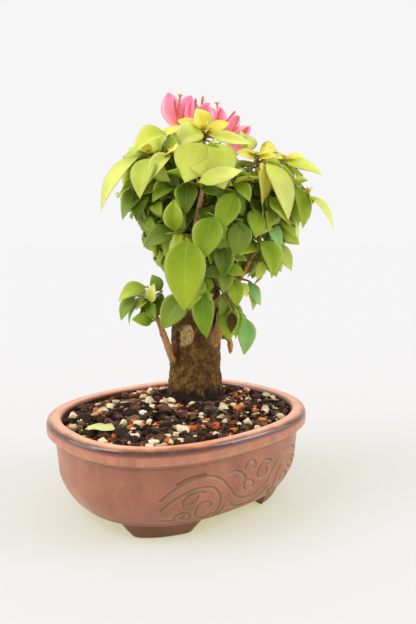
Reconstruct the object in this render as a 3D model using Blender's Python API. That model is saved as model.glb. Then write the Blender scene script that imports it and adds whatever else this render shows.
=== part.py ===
# A bougainvillea bonsai in an oval glazed pot: pot, soil, trunk, boughs, masses of leaves, blossom.
# Sizes are in millimetres and are turned into metres as each mesh is made.
# The pot's frame has x along the oval, y across it and z up from the tips of the feet.
# The tree's frame is the same but turned about z: x to the right of the tree's best side, y away
# from whoever looks at it. Trunk, boughs and leaves are worked out in the tree's frame.

import math
import random

import bmesh
import bpy
import numpy as np
from mathutils import Matrix, Vector
from mathutils.bvhtree import BVHTree

MM = 0.001
GAP = 0.3                       # kept between pieces that touch
TREE_TURN = math.radians(39.2)  # the tree's best side is turned this far from the pot's long side

# Pot
POT_LENGTH, POT_WIDTH, POT_HEIGHT = 200.0, 168.0, 70.0
OVAL_POWER = 2.42               # 2 would be an ellipse, more is squarer
POT_SIDES = 44
FOOT_INSETS = (20.0, 24.0)      # from the rim's outline to the feet, along and across
FOOT_HEIGHT = 10.5
FOOT_GAPS = (34.0, 39.0)        # half the gap between feet at the ground, along and across
FOOT_SLOPE = 4.0                # a gap is narrower by this much at its top, each side
# A wall is a run of (height, inset from the rim's outline)
OUTER_WALL = ((FOOT_HEIGHT, 17.6), (14, 14.9), (20, 11.4), (28, 8.3), (38, 7.3), (48, 6.5),
              (56.5, 5.6), (58.3, 3.4), (59.2, 0.6), (66.5, 0.0), (68.8, 0.5), (POT_HEIGHT, 2.2))
INNER_WALL = ((POT_HEIGHT, 8.8), (69.0, 10.4), (64.0, 11.2), (52, 12.6), (38, 14.2), (24, 19.0),
              (18, 26.0), (16, 36.0))

# Soil
SOIL_EDGE = 65.0                # height of the soil where it meets the pot
SOIL_TOP = 70.7                 # height of the flat under the trunk
SOIL_FLAT = 27.0                # radius of that flat
MOUND_RINGS = 5

# Trunk, in the tree's frame
TRUNK_FOOT = Vector((10.7, 25.0, SOIL_TOP + GAP))
TRUNK_TOP = Vector((12.6, 26.0, 168.0))
TRUNK_RADIUS = 20.2             # just above the root flare
TRUNK_TOP_RADIUS = 18.2
FLARE, FLARE_HEIGHT = 4.2, 9.0  # the root flare stands out this far and dies away this fast
ROOT_LOBES, LOBE_DEPTH = 5, 1.6
LOBE_TURN, LOBE_LEAST = 0.6, 0.25  # where the lobes start, and what is left of them above the flare
KNOB_HEIGHT, KNOB_SIDE, KNOB_SIZE = 124.0, math.radians(-38), 3.6
KNOB_SPREAD, KNOB_RISE = 0.5, 8.0  # how far round the trunk and how far up it the knob reaches
TRUNK_SIDES, TRUNK_RINGS = 20, 12
RING_CROWD = 1.2                # more than 1 sets the trunk's rings closer together towards its foot
SHOULDER = 4.0                  # the trunk's cut top is rounded off over this height
SHOULDER_RINGS = ((1.2, 0.93), (0.0, 0.80))  # below the top, and the radius there over the trunk's own
BOUGH_SIDES, STEM_SIDES, HEAD_SIDES, TWIG_SIDES = 7, 5, 6, 3
STEM_TIP = 1.4                  # radius at the end of a mass's stem

# Crown, in the tree's frame: the ball of shoot tips that the leaves stand out of
CROWN_MIDDLE = Vector((19.0, 25.0, 228.0))
CROWN_REACH = Vector((62.0, 46.0, 50.0))
CROWN_FRONT = 0.72              # the seeded tips reach less far forward than back
SHOOT_TIPS = 64
LOWEST_TIP = -0.86              # the tips stop this far down the ball, over its height
BEST_SIDE = Vector((22, -452, 202))  # where the tree is looked at from when its outline is measured
# The crown's outline from there, against the plane y = 0: height, left edge, right edge
OUTLINE = ((98, -18, 48), (112, -20, 51), (125, -26, 55), (134, -42, 55), (148, -48, 64), (155, -46, 66),
           (163, -20, 70), (172, -12, 76), (182, -15, 87), (192, -25, 91), (206, -28, 95), (213, -33, 98),
           (221, -44, 101), (231, -48, 102), (250, -52, 101), (259, -44, 97), (269, -38, 76), (283, -24, 54),
           (300, -12, 46), (320, -10, 40))
POT_MARGIN = 1.0                # the crown stays this far inside the pot's length and width
LEAF_LENGTH = (30.0, 42.0)
LEAF_SHAPE = 0.60               # width over length
LEAF_ARCH = 0.09                # over length
LEAF_WIDEST = 0.42              # where along a leaf it is widest
LEAF_THICKNESS = 0.024          # over length
LEAF_SINK = 0.3                 # a leaf's root starts this far back past its twig's middle
TWIG_OVER = 1.2                 # a twig runs on this far past the root of the leaf at its end
INTERNODE = 8.0
GOLDEN_ANGLE = math.radians(137.5)
TWIG_RADII = (1.5, 0.8)
STEM_RUN = 6.2                  # a mass's stem runs this far straight on from its bough
CLEAR = 0.9                     # what a leaf or twig keeps from limbs and from other leaves
BORDER = 14.0                   # how far a mass may reach across the border of its space, where it has room
SHOOT_LEAVES = (3, 6)           # fewest and most on one shoot
LEAF_ATTEMPTS = 9               # a leaf that doesn't fit is turned and shortened this often, then skipped
LEAF_TURN, LEAF_SHORTEN = 1.3, 0.05  # by how much each time
FACE_OUT, FACE_UP = 0.9, 0.8    # how much a leaf's upper face looks outwards, and up
FACE_FRONT = 0.9                # and, where a leaf shows most, towards the tree's best side
LEAF_FOLD = 0.12                # how far a leaf's sides lift, over its width
TIP_LEAF = 0.72                 # a young leaf at a shoot's tip, over a grown one
TIP_SPACING = 15.0              # a seeded shoot isn't closer than this to another shoot's tip
DROOP_TOP, DROOP_FALL = 290.0, 110.0  # leaves droop more the further they are below the crown's top
DROOP_LEAST, DROOP_MORE, DROOP_VARY = 0.25, 0.9, 0.25
LEAF_ROUND, LEAF_ONWARDS, LEAF_OUT = 0.75, 0.5, 0.35  # a leaf points away from its twig, along it and outwards
TWIG_BEND, TWIG_RISE = 0.55, 0.10  # where a twig bends, and how far that rises, over its length
TWIG_SAMPLES, TRUNK_SAMPLES = 13, 60  # points that stand for a limb when room is looked for

# A bough is a smooth curve through its points, with its radius at the trunk and at the tip
BOUGHS = {
    "bough_low_left": {"points": ((3, 19, 95), (-6, 12, 106), (-10, 8, 118), (-14, 5, 130)),
                       "radii": (2.8, 2.2)},
    "bough_right": {"points": ((20, 18, 112), (30, 14, 128), (36, 19, 149), (45, 22, 169), (55, 25, 200),
                               (58, 26, 216)), "radii": (4.4, 3.0)},
    "bough_top": {"points": ((20, 23, 155), (29, 19, 172), (31, 18, 188), (27, 17, 212), (22, 17, 238)),
                  "radii": (5.0, 3.4)},
    "bough_left": {"points": ((3, 22, 155), (3, 24, 178), (5, 25, 199), (5, 25, 220)), "radii": (3.6, 2.4)},
    "bough_front": {"points": ((11, 14, 155), (12, 4, 172), (11, -4, 186)), "radii": (3.2, 2.4)},
    "bough_back_left": {"points": ((4, 35, 155), (-3, 48, 176), (-10, 58, 196)), "radii": (3.8, 2.6)},
    "bough_back_right": {"points": ((22, 37, 155), (36, 53, 176), (45, 62, 196)), "radii": (3.8, 2.6)},
    "bough_blossom": {"points": ((13, 32, 158), (13, 40, 200), (13, 44, 240), (14, 46, 266)),
                      "radii": (3.4, 2.0)},
    "dead_stub": {"points": ((24, 28, 116), (33, 29, 121), (38.5, 27.5, 119), (40.3, 26, 112), (40.5, 26, 107)),
                  "radii": (2.4, 1.7)},
}

# A mass keeps to the points that are nearest its own ball, given by its middle and its size. Its stem
# grows on from a bough's tip, or out of the trunk. Each leaf that shows most is the end of a shoot of
# its own: its base, its tip, its width and how far it arches.
MASSES = {
    "crown_top": {
        "ball": ((20, 10, 288), 34), "bough": "bough_top", "seed": 11,
        "stem": ((20, 15, 256), (19, 12, 274)),
        "leaves": (((18, 4, 279), (-3, -7, 267), 19, 3),
                   ((19, 6, 281), (13, 2, 296), 15, 2),
                   ((14, 8, 281), (-1, 8, 289), 10, 1),
                   ((22, 5, 280), (38, 5, 286), 10, 1),
                   ((22, 2, 278), (55, -3, 272), 14, 4))},
    "crown_left": {
        "ball": ((-34, 12, 246), 42), "bough": "bough_left", "seed": 12,
        "stem": ((3, 24, 234), (-6, 18, 250), (-16, 12, 262)),
        "leaves": (((-28, 8, 265), (-59, -4, 222), 22, 15),
                   ((-17, -12, 259), (-27, -20, 229), 19, 5),
                   ((-4, -13, 261), (-20, -22, 240), 13, 4),
                   ((-7, 5, 277), (-34, -5, 262), 18, 6),
                   ((-25, 12, 238), (-44, 8, 215), 20, 4),
                   ((-21, 8, 240), (-33, 2, 214), 20, 4),
                   ((-10, 4, 242), (-32, 0, 232), 20, 3))},
    "crown_right": {
        "ball": ((82, 12, 244), 42), "bough": "bough_right", "seed": 13,
        "stem": ((60, 25, 230), (60, 22, 246), (60, 19, 259)),
        "leaves": (((64, -2, 257), (81, -12, 214), 21, 6),
                   ((87, 2, 240), (93, -2, 208), 17, 3),
                   ((97, 5, 233), (118, 4, 209), 9, 4),
                   ((80, 18, 259), (110, 14, 250), 15, 4),
                   ((82, 18, 260), (97, 22, 264), 9, 1),
                   ((60, 16, 262), (76, 10, 259), 12, 1),
                   ((68, -8, 231), (79, -13, 214), 18, 3))},
    "crown_front": {
        "ball": ((14, -34, 200), 54), "bough": "bough_front", "seed": 14,
        "stem": ((10, -12, 197), (13, -18, 212), (18, -22, 236), (18, -24, 256)),
        "leaves": (((20, -25, 266), (33, -41, 235), 34, 7),
                   ((18, -28, 267), (6, -39, 239), 30, 5),
                   ((7, -30, 203), (5, -36, 150), 29, 6),
                   ((26, -28, 217), (17, -33, 185), 21, 4),
                   ((41, -22, 234), (28, -28, 205), 17, 5),
                   ((46, -18, 214), (41, -23, 188), 18, 3),
                   ((-1, -24, 205), (-2, -22, 229), 15, 2),
                   ((18, -20, 167), (21, -23, 128), 16, 4),
                   ((-2, -6, 206), (-26, -12, 195), 17, 4))},
    "crown_right_low": {
        "ball": ((60, -2, 172), 36), "bough": None, "seed": 15,
        "stem": ((22, 15, 144), (33, 6, 156), (46, 1, 170), (57, 0, 190)), "radius": 2.8,
        "leaves": (((60, -8, 200), (70, -13, 172), 18, 4),
                   ((72, 5, 197), (86, 4, 176), 16, 3),
                   ((50, -2, 142), (50, -5, 112), 15, 3),
                   ((40, -8, 151), (43, -11, 127), 13, 3),
                   ((54, 0, 168), (62, -2, 150), 10, 2))},
    "low_left_spray": {
        "ball": ((-30, 2, 148), 26), "bough": "bough_low_left", "seed": 16,
        "stem": ((-19, 2, 145), (-21, 2, 154)),
        "leaves": (((-24, 0, 164), (-47, -2, 154), 13, 4),
                   ((-33, 2, 157), (-45, 0, 138), 13, 3),
                   ((-20, 0, 138), (-36, -4, 140), 12, 2),
                   ((-21, -2, 152), (-19, -4, 167), 11, 1))},
    "crown_back_left": {
        "ball": ((-18, 74, 228), 46), "bough": "bough_back_left", "seed": 17,
        "stem": ((-13, 62, 206), (-17, 68, 222), (-18, 70, 240)), "leaves": ()},
    "crown_back_right": {
        "ball": ((58, 76, 228), 46), "bough": "bough_back_right", "seed": 18,
        "stem": ((49, 65, 206), (54, 69, 222), (56, 70, 240)), "leaves": ()},
    "blossom": {
        "ball": ((16, 54, 300), 34), "bough": "bough_blossom", "seed": 19,
        "stem": ((14, 47, 278), (15, 47, 286)), "leaves": ()},
}

# A flower head stands at the end of a shoot: its place, its bracts' tips and widths, its flowers' tips
FLOWER_HEADS = (((-1, 42, 290), (((-10, 40, 313), 17), ((7, 41, 312), 15), ((-2, 53, 309), 15)),
                 ((0, 41, 313), (-6, 44, 312), (4, 46, 310))),
                ((15, 42, 288), (((8, 40, 306), 14), ((21, 37, 305), 17), ((15, 53, 305), 15)),
                 ((12, 42, 311), (18, 43, 313), (22, 39, 307))),
                ((31, 43, 286), (((25, 41, 303), 13), ((38, 40, 300), 13), ((33, 54, 301), 14)),
                 ((28, 42, 309), (32, 41, 305), (43, 42, 302))),
                ((40, 41, 281), (((46, 43, 298), 10), ((56, 39, 287), 11), ((53, 37, 273), 15)),
                 ((48, 42, 298), (56, 40, 290), (54, 39, 285))),
                ((8, 64, 287), (((-2, 74, 303), 16), ((15, 77, 302), 16), ((7, 59, 308), 15)),
                 ((3, 70, 309), (9, 72, 310), (12, 66, 308))),
                ((30, 66, 283), (((36, 77, 298), 16), ((41, 64, 298), 15), ((25, 72, 302), 15)),
                 ((32, 74, 305), (36, 70, 304), (29, 68, 306))))
BRACT_ARCH = -2.0
FLOWER_RADIUS, FLOWER_FOOT = 0.9, 0.7  # and the radius at its foot, over its own
HEAD_RADIUS, HEAD_OVER = 2.4, 1.5  # the core that a head's bracts and flowers are rooted in

# Colours (red, green, blue), how rough, how metallic
FINISHES = {
    "glazed_clay": ((0.52, 0.24, 0.16), 0.35, 0.0),
    "potting_mix": ((0.05, 0.03, 0.02), 0.9, 0.0),
    "bark": ((0.16, 0.11, 0.06), 0.85, 0.0),
    "leaf": ((0.23, 0.42, 0.06), 0.5, 0.0),
    "bract": ((0.86, 0.12, 0.25), 0.6, 0.0),
}

to_pot = Matrix.Rotation(-TREE_TURN, 4, "Z")  # from the tree's frame to the pot's


def finish(name):
    """The Principled material of one finish, made once."""
    if name in bpy.data.materials:
        return bpy.data.materials[name]
    colour, rough, metal = FINISHES[name]
    material = bpy.data.materials.new(name)
    material.use_nodes = True
    shader = material.node_tree.nodes["Principled BSDF"]
    shader.inputs["Base Color"].default_value = (*colour, 1.0)
    shader.inputs["Roughness"].default_value = rough
    shader.inputs["Metallic"].default_value = metal
    return material


def add_mesh(name, mesh, collection, material=None):
    """A new object for a mesh, in a collection."""
    thing = bpy.data.objects.new(name, mesh)
    collection.objects.link(thing)
    if material:
        mesh.materials.clear()
        mesh.materials.append(finish(material))
    return thing


def hide(thing):
    """Marks a cutter or a guide."""
    thing.hide_render = True
    thing.display_type = "WIRE"


def loft(rings):
    """A closed mesh through rings of equally many points, with a flat face at each end."""
    mesh = bpy.data.meshes.new("loft")
    bm = bmesh.new()
    rows = [[bm.verts.new(Vector(point) * MM) for point in ring] for ring in rings]
    count = len(rows[0])
    for low, high in zip(rows, rows[1:]):
        for i in range(count):
            j = (i + 1) % count
            bm.faces.new((low[i], low[j], high[j], high[i]))
    bm.faces.new(rows[0][::-1])
    bm.faces.new(rows[-1])
    bmesh.ops.recalc_face_normals(bm, faces=bm.faces)
    bm.to_mesh(mesh)
    bm.free()
    return mesh


def evaluated_mesh(thing):
    """A copy of an object's mesh with its modifiers applied."""
    bpy.context.view_layer.update()
    graph = bpy.context.evaluated_depsgraph_get()
    return bpy.data.meshes.new_from_object(thing.evaluated_get(graph))


def boolean(thing, operation, cutter=None, collection=None):
    """Applies one Boolean to an object, with an object or a whole collection."""
    modifier = thing.modifiers.new(operation.lower(), "BOOLEAN")
    modifier.operation = operation
    modifier.solver = "EXACT"
    if collection:
        modifier.operand_type = "COLLECTION"
        modifier.collection = collection
    else:
        modifier.object = cutter
    mesh = evaluated_mesh(thing)
    thing.modifiers.clear()
    thing.data = mesh


def one_body(mesh):
    """Keeps a mesh's largest shell: loose scraps go, and sealed hollows are filled."""
    bm = bmesh.new()
    bm.from_mesh(mesh)
    bmesh.ops.triangulate(bm, faces=bm.faces)
    left, shells = set(bm.verts), []
    while left:
        shell, edge = set(), [left.pop()]
        while edge:
            vertex = edge.pop()
            shell.add(vertex)
            near = {link.other_vert(vertex) for link in vertex.link_edges}
            edge.extend(near & left)
            left -= near
        shells.append(shell)
    largest = max(shells, key=lambda shell: max(v.co.z for v in shell) - min(v.co.z for v in shell))
    bmesh.ops.delete(bm, geom=[v for shell in shells if shell is not largest for v in shell])
    bm.to_mesh(mesh)
    bm.free()


# Pot and soil

def oval(inset_x, inset_y, height):
    """One level ring of the pot's squared oval, drawn in from the rim's outline."""
    half_x, half_y = POT_LENGTH / 2 - inset_x, POT_WIDTH / 2 - inset_y
    ring = []
    for i in range(POT_SIDES):
        angle = math.tau * i / POT_SIDES
        c, s = math.cos(angle), math.sin(angle)
        ring.append((half_x * math.copysign(abs(c) ** (2 / OVAL_POWER), c),
                     half_y * math.copysign(abs(s) ** (2 / OVAL_POWER), s), height))
    return ring


def inner_inset(height):
    """How far the pot's inner wall stands in from the rim's outline at a height."""
    heights = [level for level, inset in reversed(INNER_WALL)]
    insets = [inset for level, inset in reversed(INNER_WALL)]
    return float(np.interp(height, heights, insets))


def foot_gap(name, half_gap, along_x, collection):
    """A long wedge, wider below, that cuts the gap between two pairs of feet."""
    reach, low = POT_LENGTH, -FOOT_HEIGHT
    section = ((-half_gap - FOOT_SLOPE, low), (half_gap + FOOT_SLOPE, low),
               (half_gap - FOOT_SLOPE, FOOT_HEIGHT), (-half_gap + FOOT_SLOPE, FOOT_HEIGHT))
    if along_x:
        rings = [[(end, side, z) for side, z in section] for end in (-reach, reach)]
    else:
        rings = [[(side, end, z) for side, z in section] for end in (-reach, reach)]
    cutter = add_mesh(name, loft(rings), collection)
    hide(cutter)
    return cutter


def make_pot(parts, helpers):
    rings = [oval(*FOOT_INSETS, 0)]
    rings += [oval(inset, inset, height) for height, inset in OUTER_WALL + INNER_WALL]
    pot = add_mesh("pot", loft(rings), parts, "glazed_clay")
    boolean(pot, "DIFFERENCE", foot_gap("gap_across", FOOT_GAPS[0], False, helpers))
    boolean(pot, "DIFFERENCE", foot_gap("gap_along", FOOT_GAPS[1], True, helpers))
    pot.data.shade_smooth()
    pot.data.set_sharp_from_angle(angle=math.radians(35))


def make_soil(parts):
    floor = INNER_WALL[-1][0] + GAP
    levels = sorted({floor, SOIL_EDGE} | {height for height, inset in INNER_WALL if floor < height < SOIL_EDGE})
    rings = [oval(inner_inset(z) + 2 * GAP, inner_inset(z) + 2 * GAP, z) for z in levels]
    foot = to_pot @ TRUNK_FOOT
    for step in range(1, MOUND_RINGS + 1):
        t = step / MOUND_RINGS
        rise = t * t * (3 - 2 * t)
        ring = []
        for i, (x, y, z) in enumerate(rings[len(levels) - 1]):
            angle = math.tau * i / POT_SIDES
            flat_x = foot.x + SOIL_FLAT * math.cos(angle)
            flat_y = foot.y + SOIL_FLAT * math.sin(angle)
            ring.append((x + (flat_x - x) * t, y + (flat_y - y) * t, z + (SOIL_TOP - SOIL_EDGE) * rise))
        rings.append(ring)
    soil = add_mesh("soil", loft(rings), parts, "potting_mix")
    soil.data.shade_smooth()


# Trunk and boughs

def trunk_axis(height):
    t = (height - TRUNK_FOOT.z) / (TRUNK_TOP.z - TRUNK_FOOT.z)
    return TRUNK_FOOT.lerp(TRUNK_TOP, t)


def trunk_radius(height, angle):
    """Taper, root flare with lobes at its foot, and the knob that the right bough grows from."""
    up = height - TRUNK_FOOT.z
    taper = TRUNK_RADIUS + (TRUNK_TOP_RADIUS - TRUNK_RADIUS) * up / (TRUNK_TOP.z - TRUNK_FOOT.z)
    flare = math.exp(-up / FLARE_HEIGHT)
    lobes = LOBE_DEPTH * math.cos(ROOT_LOBES * angle + LOBE_TURN) * (LOBE_LEAST + flare)
    away = math.remainder(angle - KNOB_SIDE, math.tau) / KNOB_SPREAD
    rise = (height - KNOB_HEIGHT) / KNOB_RISE
    return taper + FLARE * flare + lobes + KNOB_SIZE * math.exp(-away * away - rise * rise)


def trunk_mesh(swell=0.0):
    """The trunk, or with a swell the same shape grown by it, for cutting limbs clear."""
    rings = []
    for step in range(TRUNK_RINGS + 1):
        t = (step / TRUNK_RINGS) ** RING_CROWD
        height = TRUNK_FOOT.z + (TRUNK_TOP.z - SHOULDER - TRUNK_FOOT.z) * t
        rings.append((height - (swell if step == 0 else 0), 1.0))
    rings += [(TRUNK_TOP.z - below + swell, narrow) for below, narrow in SHOULDER_RINGS]
    solid = []
    for height, narrow in rings:
        middle = trunk_axis(height)
        ring = []
        for i in range(TRUNK_SIDES):
            angle = math.tau * i / TRUNK_SIDES
            r = trunk_radius(height, angle) * narrow + swell * 1.1
            ring.append(to_pot @ Vector((middle.x + r * math.cos(angle), middle.y + r * math.sin(angle), height)))
        solid.append(ring)
    return loft(solid)


def smooth_path(points, pieces=4):
    """Points along a curve that passes smoothly through the given ones."""
    points = [Vector(p) for p in points]
    ends = [points[0] * 2 - points[1]] + points + [points[-1] * 2 - points[-2]]
    path = []
    for a, b, c, d in zip(ends, ends[1:], ends[2:], ends[3:]):
        for step in range(pieces):
            t = step / pieces
            path.append(0.5 * (2 * b + (c - a) * t + (2 * a - 5 * b + 4 * c - d) * t * t
                               + (3 * b - a - 3 * c + d) * t ** 3))
    return path + [points[-1]]


def limb(name, path, radii, sides, collection, helpers, material=None):
    """A tapering round or few-sided limb along a path, with flat closed ends."""
    guide = "profile_%d" % sides
    if guide not in bpy.data.objects:
        outline = bpy.data.curves.new(guide, "CURVE")
        corners = outline.splines.new("POLY")
        corners.points.add(sides - 1)
        for i, point in enumerate(corners.points):
            angle = math.tau * i / sides
            point.co = (math.cos(angle) * MM, math.sin(angle) * MM, 0, 1)
        corners.use_cyclic_u = True
        helpers.objects.link(bpy.data.objects.new(guide, outline))
        hide(bpy.data.objects[guide])
    curve = bpy.data.curves.new(name, "CURVE")
    curve.dimensions = "3D"
    curve.bevel_mode = "OBJECT"
    curve.bevel_object = bpy.data.objects[guide]
    curve.use_fill_caps = True
    line = curve.splines.new("POLY")
    line.points.add(len(path) - 1)
    for i, (point, place) in enumerate(zip(line.points, path)):
        point.co = (*(to_pot @ place * MM), 1)
        point.radius = radii[0] + (radii[1] - radii[0]) * i / (len(path) - 1)
    route = bpy.data.objects.new(name + "_route", curve)
    helpers.objects.link(route)
    mesh = evaluated_mesh(route)
    bpy.data.objects.remove(route)
    bm = bmesh.new()
    bm.from_mesh(mesh)
    bmesh.ops.remove_doubles(bm, verts=bm.verts, dist=0.00001)
    bmesh.ops.recalc_face_normals(bm, faces=bm.faces)
    bm.to_mesh(mesh)
    bm.free()
    return add_mesh(name, mesh, collection, material)


# Leaves and twigs. A leaf is (base, along, up, length, width, arch), worked out in the tree's frame.

class Growth:
    """All that has grown so far: limbs and twigs as points with radii, and the blades of the leaves."""

    def __init__(self):
        self.points, self.radii, self.owners, self.blades = [], [], [], []
        for step in range(TRUNK_SAMPLES):
            height = TRUNK_FOOT.z + (TRUNK_TOP.z - TRUNK_FOOT.z) * step / (TRUNK_SAMPLES - 1)
            self.add_path("trunk", [trunk_axis(height)], (TRUNK_RADIUS + LOBE_DEPTH,) * 2)
        for name, bough in BOUGHS.items():
            self.add_path(name, smooth_path(bough["points"], 12), bough["radii"])
        for mass in MASSES:
            self.add_path(mass + " stem", mass_stem(mass, 8), (mass_radius(mass), STEM_TIP))

    def add_path(self, owner, path, radii):
        for i, point in enumerate(path):
            self.points.append(tuple(point))
            self.radii.append(radii[0] + (radii[1] - radii[0]) * i / max(len(path) - 1, 1))
            self.owners.append(owner)

    def near(self, place, reach, skip):
        """Points, with their radii, within reach of a place, but for those of some owners."""
        apart = np.linalg.norm(np.array(self.points) - np.array(place), axis=1)
        for i in np.nonzero(apart < reach)[0]:
            if self.owners[i] not in skip:
                yield Vector(self.points[i]), self.radii[i]

    def free(self, place, mass):
        """Whether a twig of a mass has room at a place, between the limbs and other masses' twigs."""
        near = self.near(place, TRUNK_RADIUS + 9, (mass + " stem", mass + " twig"))
        return all((place - point).length > radius + TWIG_RADII[0] + CLEAR for point, radius in near)


def inside(mass, points):
    """Whether points keep to a mass's space, but for its soft border, and to the pot's length and width."""
    middle, size = Vector(MASSES[mass]["ball"][0]), MASSES[mass]["ball"][1]
    for p in points:
        place = to_pot @ p
        if abs(place.x) > POT_LENGTH / 2 - POT_MARGIN or abs(place.y) > POT_WIDTH / 2 - POT_MARGIN:
            return False
        own = (p - middle).length_squared - size * size
        for other in MASSES.values():
            there, reach = Vector(other["ball"][0]), other["ball"][1]
            beyond = (p - there).length_squared - reach * reach - own
            if beyond < -2 * BORDER * (there - middle).length:
                return False
    return True


def in_outline(points):
    """Whether points are within the crown's outline as it is seen from the tree's best side."""
    heights, lefts, rights = zip(*OUTLINE)
    for p in points:
        seen = BEST_SIDE + (p - BEST_SIDE) * BEST_SIDE.y / (BEST_SIDE.y - p.y)
        if not np.interp(seen.z, heights, lefts) <= seen.x <= np.interp(seen.z, heights, rights):
            return False
    return True


def leaf_corners(leaf, room=0.0):
    """A leaf's root, tip, two sides, top and underside, or the same with some room round the blade."""
    base, along, up, length, width, arch = leaf
    side = along.cross(up)
    wide = base + along * length * LEAF_WIDEST + up * arch
    thick = up * (length * LEAF_THICKNESS / 2 + room)
    lift = up * width * LEAF_FOLD
    return (base - along * LEAF_SINK, base + along * (length + room),
            wide + side * (width / 2 + room) + lift, wide - side * (width / 2 + room) + lift,
            wide + thick, wide - thick)


LEAF_FACES = ((0, 4, 2), (0, 3, 4), (1, 2, 4), (1, 4, 3), (0, 2, 5), (0, 5, 3), (1, 5, 2), (1, 3, 5))


def leaf_fits(mass, leaf, growth, showing):
    """Whether a leaf stays in its mass's space, and clear of limbs, twigs and other leaves."""
    base, along, up, length, width, arch = leaf
    if not inside(mass, leaf_corners(leaf)[1:4]) or not (showing or in_outline(leaf_corners(leaf)[1:4])):
        return False
    blade = BVHTree.FromPolygons(leaf_corners(leaf, CLEAR / 2), LEAF_FACES)
    middle = base + along * length / 2
    for point, radius in growth.near(middle, length * 0.62 + TRUNK_RADIUS, (mass + " twig", mass + " stem")):
        if blade.find_nearest(point)[3] < radius + CLEAR / 2:
            return False
    return not any((middle - there).length < length + reach and blade.overlap(other)
                   for owner, there, reach, other in growth.blades if owner != mass or not showing)


def add_leaf(mass, leaves, leaf, growth):
    base, along, up, length, width, arch = leaf
    leaves.append(leaf)
    growth.blades.append((mass, base + along * length / 2, length / 2,
                          BVHTree.FromPolygons(leaf_corners(leaf), LEAF_FACES)))


def twig_fits(mass, path, growth):
    """Whether a twig stays in its mass's space, and clear of other masses and of every limb."""
    if not inside(mass, path):
        return False
    fine = [a.lerp(b, t / 4) for a, b in zip(path, path[1:]) for t in range(4)] + [path[-1]]
    for place in fine:
        if not growth.free(place, mass):
            return False
        for owner, there, reach, blade in growth.blades:
            if owner != mass and (place - there).length < reach + TWIG_RADII[0] + CLEAR:
                if blade.find_nearest(place)[3] < TWIG_RADII[0] + CLEAR:
                    return False
    return True


def make_leaf(name, leaf, collection):
    """A leaf is a ball of four segments and two rings, drawn out into a folded, arching blade."""
    corners = leaf_corners(leaf)
    mesh = bpy.data.meshes.new(name)
    bm = bmesh.new()
    bmesh.ops.create_uvsphere(bm, u_segments=4, v_segments=2, radius=1)
    for vertex in bm.verts:
        x, y, z = vertex.co
        if abs(z) > 0.5:
            corner = corners[1] if z > 0 else corners[0]
        elif abs(x) > 0.5:
            corner = corners[2] if x > 0 else corners[3]
        else:
            corner = corners[4] if y > 0 else corners[5]
        vertex.co = to_pot @ corner * MM
    bmesh.ops.recalc_face_normals(bm, faces=bm.faces)
    bm.to_mesh(mesh)
    bm.free()
    return add_mesh(name, mesh, collection)


def shoot_tips():
    """Even points all over the crown's ball."""
    tips = []
    for i in range(SHOOT_TIPS):
        z = 1 - (1 - LOWEST_TIP) * (i + 0.5) / SHOOT_TIPS
        ring = math.sqrt(1 - z * z)
        turn = GOLDEN_ANGLE * i
        way = Vector((ring * math.cos(turn), ring * math.sin(turn), z))
        reach = CROWN_REACH.copy()
        reach.y *= CROWN_FRONT if way.y < 0 else 1
        tips.append(CROWN_MIDDLE + way * reach)
    return tips


def own_mass(place):
    """The mass whose space a point is in."""
    def depth(mass):
        middle, size = MASSES[mass]["ball"]
        return (place - Vector(middle)).length_squared - size * size
    return min(MASSES, key=depth)


def across(direction, wish):
    """The unit direction nearest to a wish that is square to another direction."""
    return (wish - direction * wish.dot(direction)).normalized()


def outwards(place):
    out = place - CROWN_MIDDLE
    out.z = 0
    return out.normalized()


def leaf_facing(place, along, front=0.0):
    """Which way a leaf's upper face looks: outwards from the crown's middle, up and to the best side."""
    return across(along, outwards(place) * FACE_OUT + Vector((0, -front, FACE_UP)))


def shoot_path(starts, tip):
    """A twig leaves its stem at the nearest point, rather below its tip, and bends up to the tip."""
    start = min(starts, key=lambda p: (p - tip).length + max(0.0, p.z - tip.z))
    bend = start.lerp(tip, TWIG_BEND) + Vector((0, 0, TWIG_RISE * (tip - start).length))
    path = [start, start.lerp(bend, 0.6), bend.lerp(tip, 0.4)]
    return path + [tip + (tip - path[-1]).normalized() * TWIG_OVER]


def point_on(path, t):
    """The place and direction at a fraction of the way along a path of three steps."""
    spot = min(int(t * 3), 2)
    a, b = path[spot], path[spot + 1]
    return a.lerp(b, t * 3 - spot), (b - a).normalized()


def even(count):
    """So many fractions, from 0 to 1."""
    return [i / (count - 1) for i in range(count)]


def shoot_leaves(mass, path, rng, growth, leaves, ends_in_leaf):
    """Leaves set round a twig at a golden angle, from its tip back, and smaller at the tip."""
    length = sum((b - a).length for a, b in zip(path, path[1:]))
    count = max(SHOOT_LEAVES[0], min(SHOOT_LEAVES[1], round(length / INTERNODE)))
    phase = rng.uniform(0, math.tau)
    for k in range(1 if ends_in_leaf else 0, count):
        base, axis = point_on(path, 0.96 - 0.82 * k / count)
        low = max(0.0, min(1.0, (DROOP_TOP - base.z) / DROOP_FALL))
        droop = DROOP_LEAST + DROOP_MORE * low + rng.uniform(-DROOP_VARY, DROOP_VARY)
        size = rng.uniform(*LEAF_LENGTH) * (TIP_LEAF if k == 0 else 1.0)
        side = across(axis, Vector((1, 0, 0)))
        for attempt in range(LEAF_ATTEMPTS):
            turn = phase + GOLDEN_ANGLE * k + attempt * LEAF_TURN
            ring = side * math.cos(turn) + axis.cross(side) * math.sin(turn)
            along = ring * LEAF_ROUND + axis * LEAF_ONWARDS + outwards(base) * LEAF_OUT - Vector((0, 0, droop))
            along.normalize()
            long = size * (1 - LEAF_SHORTEN * attempt)
            leaf = (base, along, leaf_facing(base, along), long, long * LEAF_SHAPE, long * LEAF_ARCH)
            if leaf_fits(mass, leaf, growth, False):
                add_leaf(mass, leaves, leaf, growth)
                break


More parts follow.
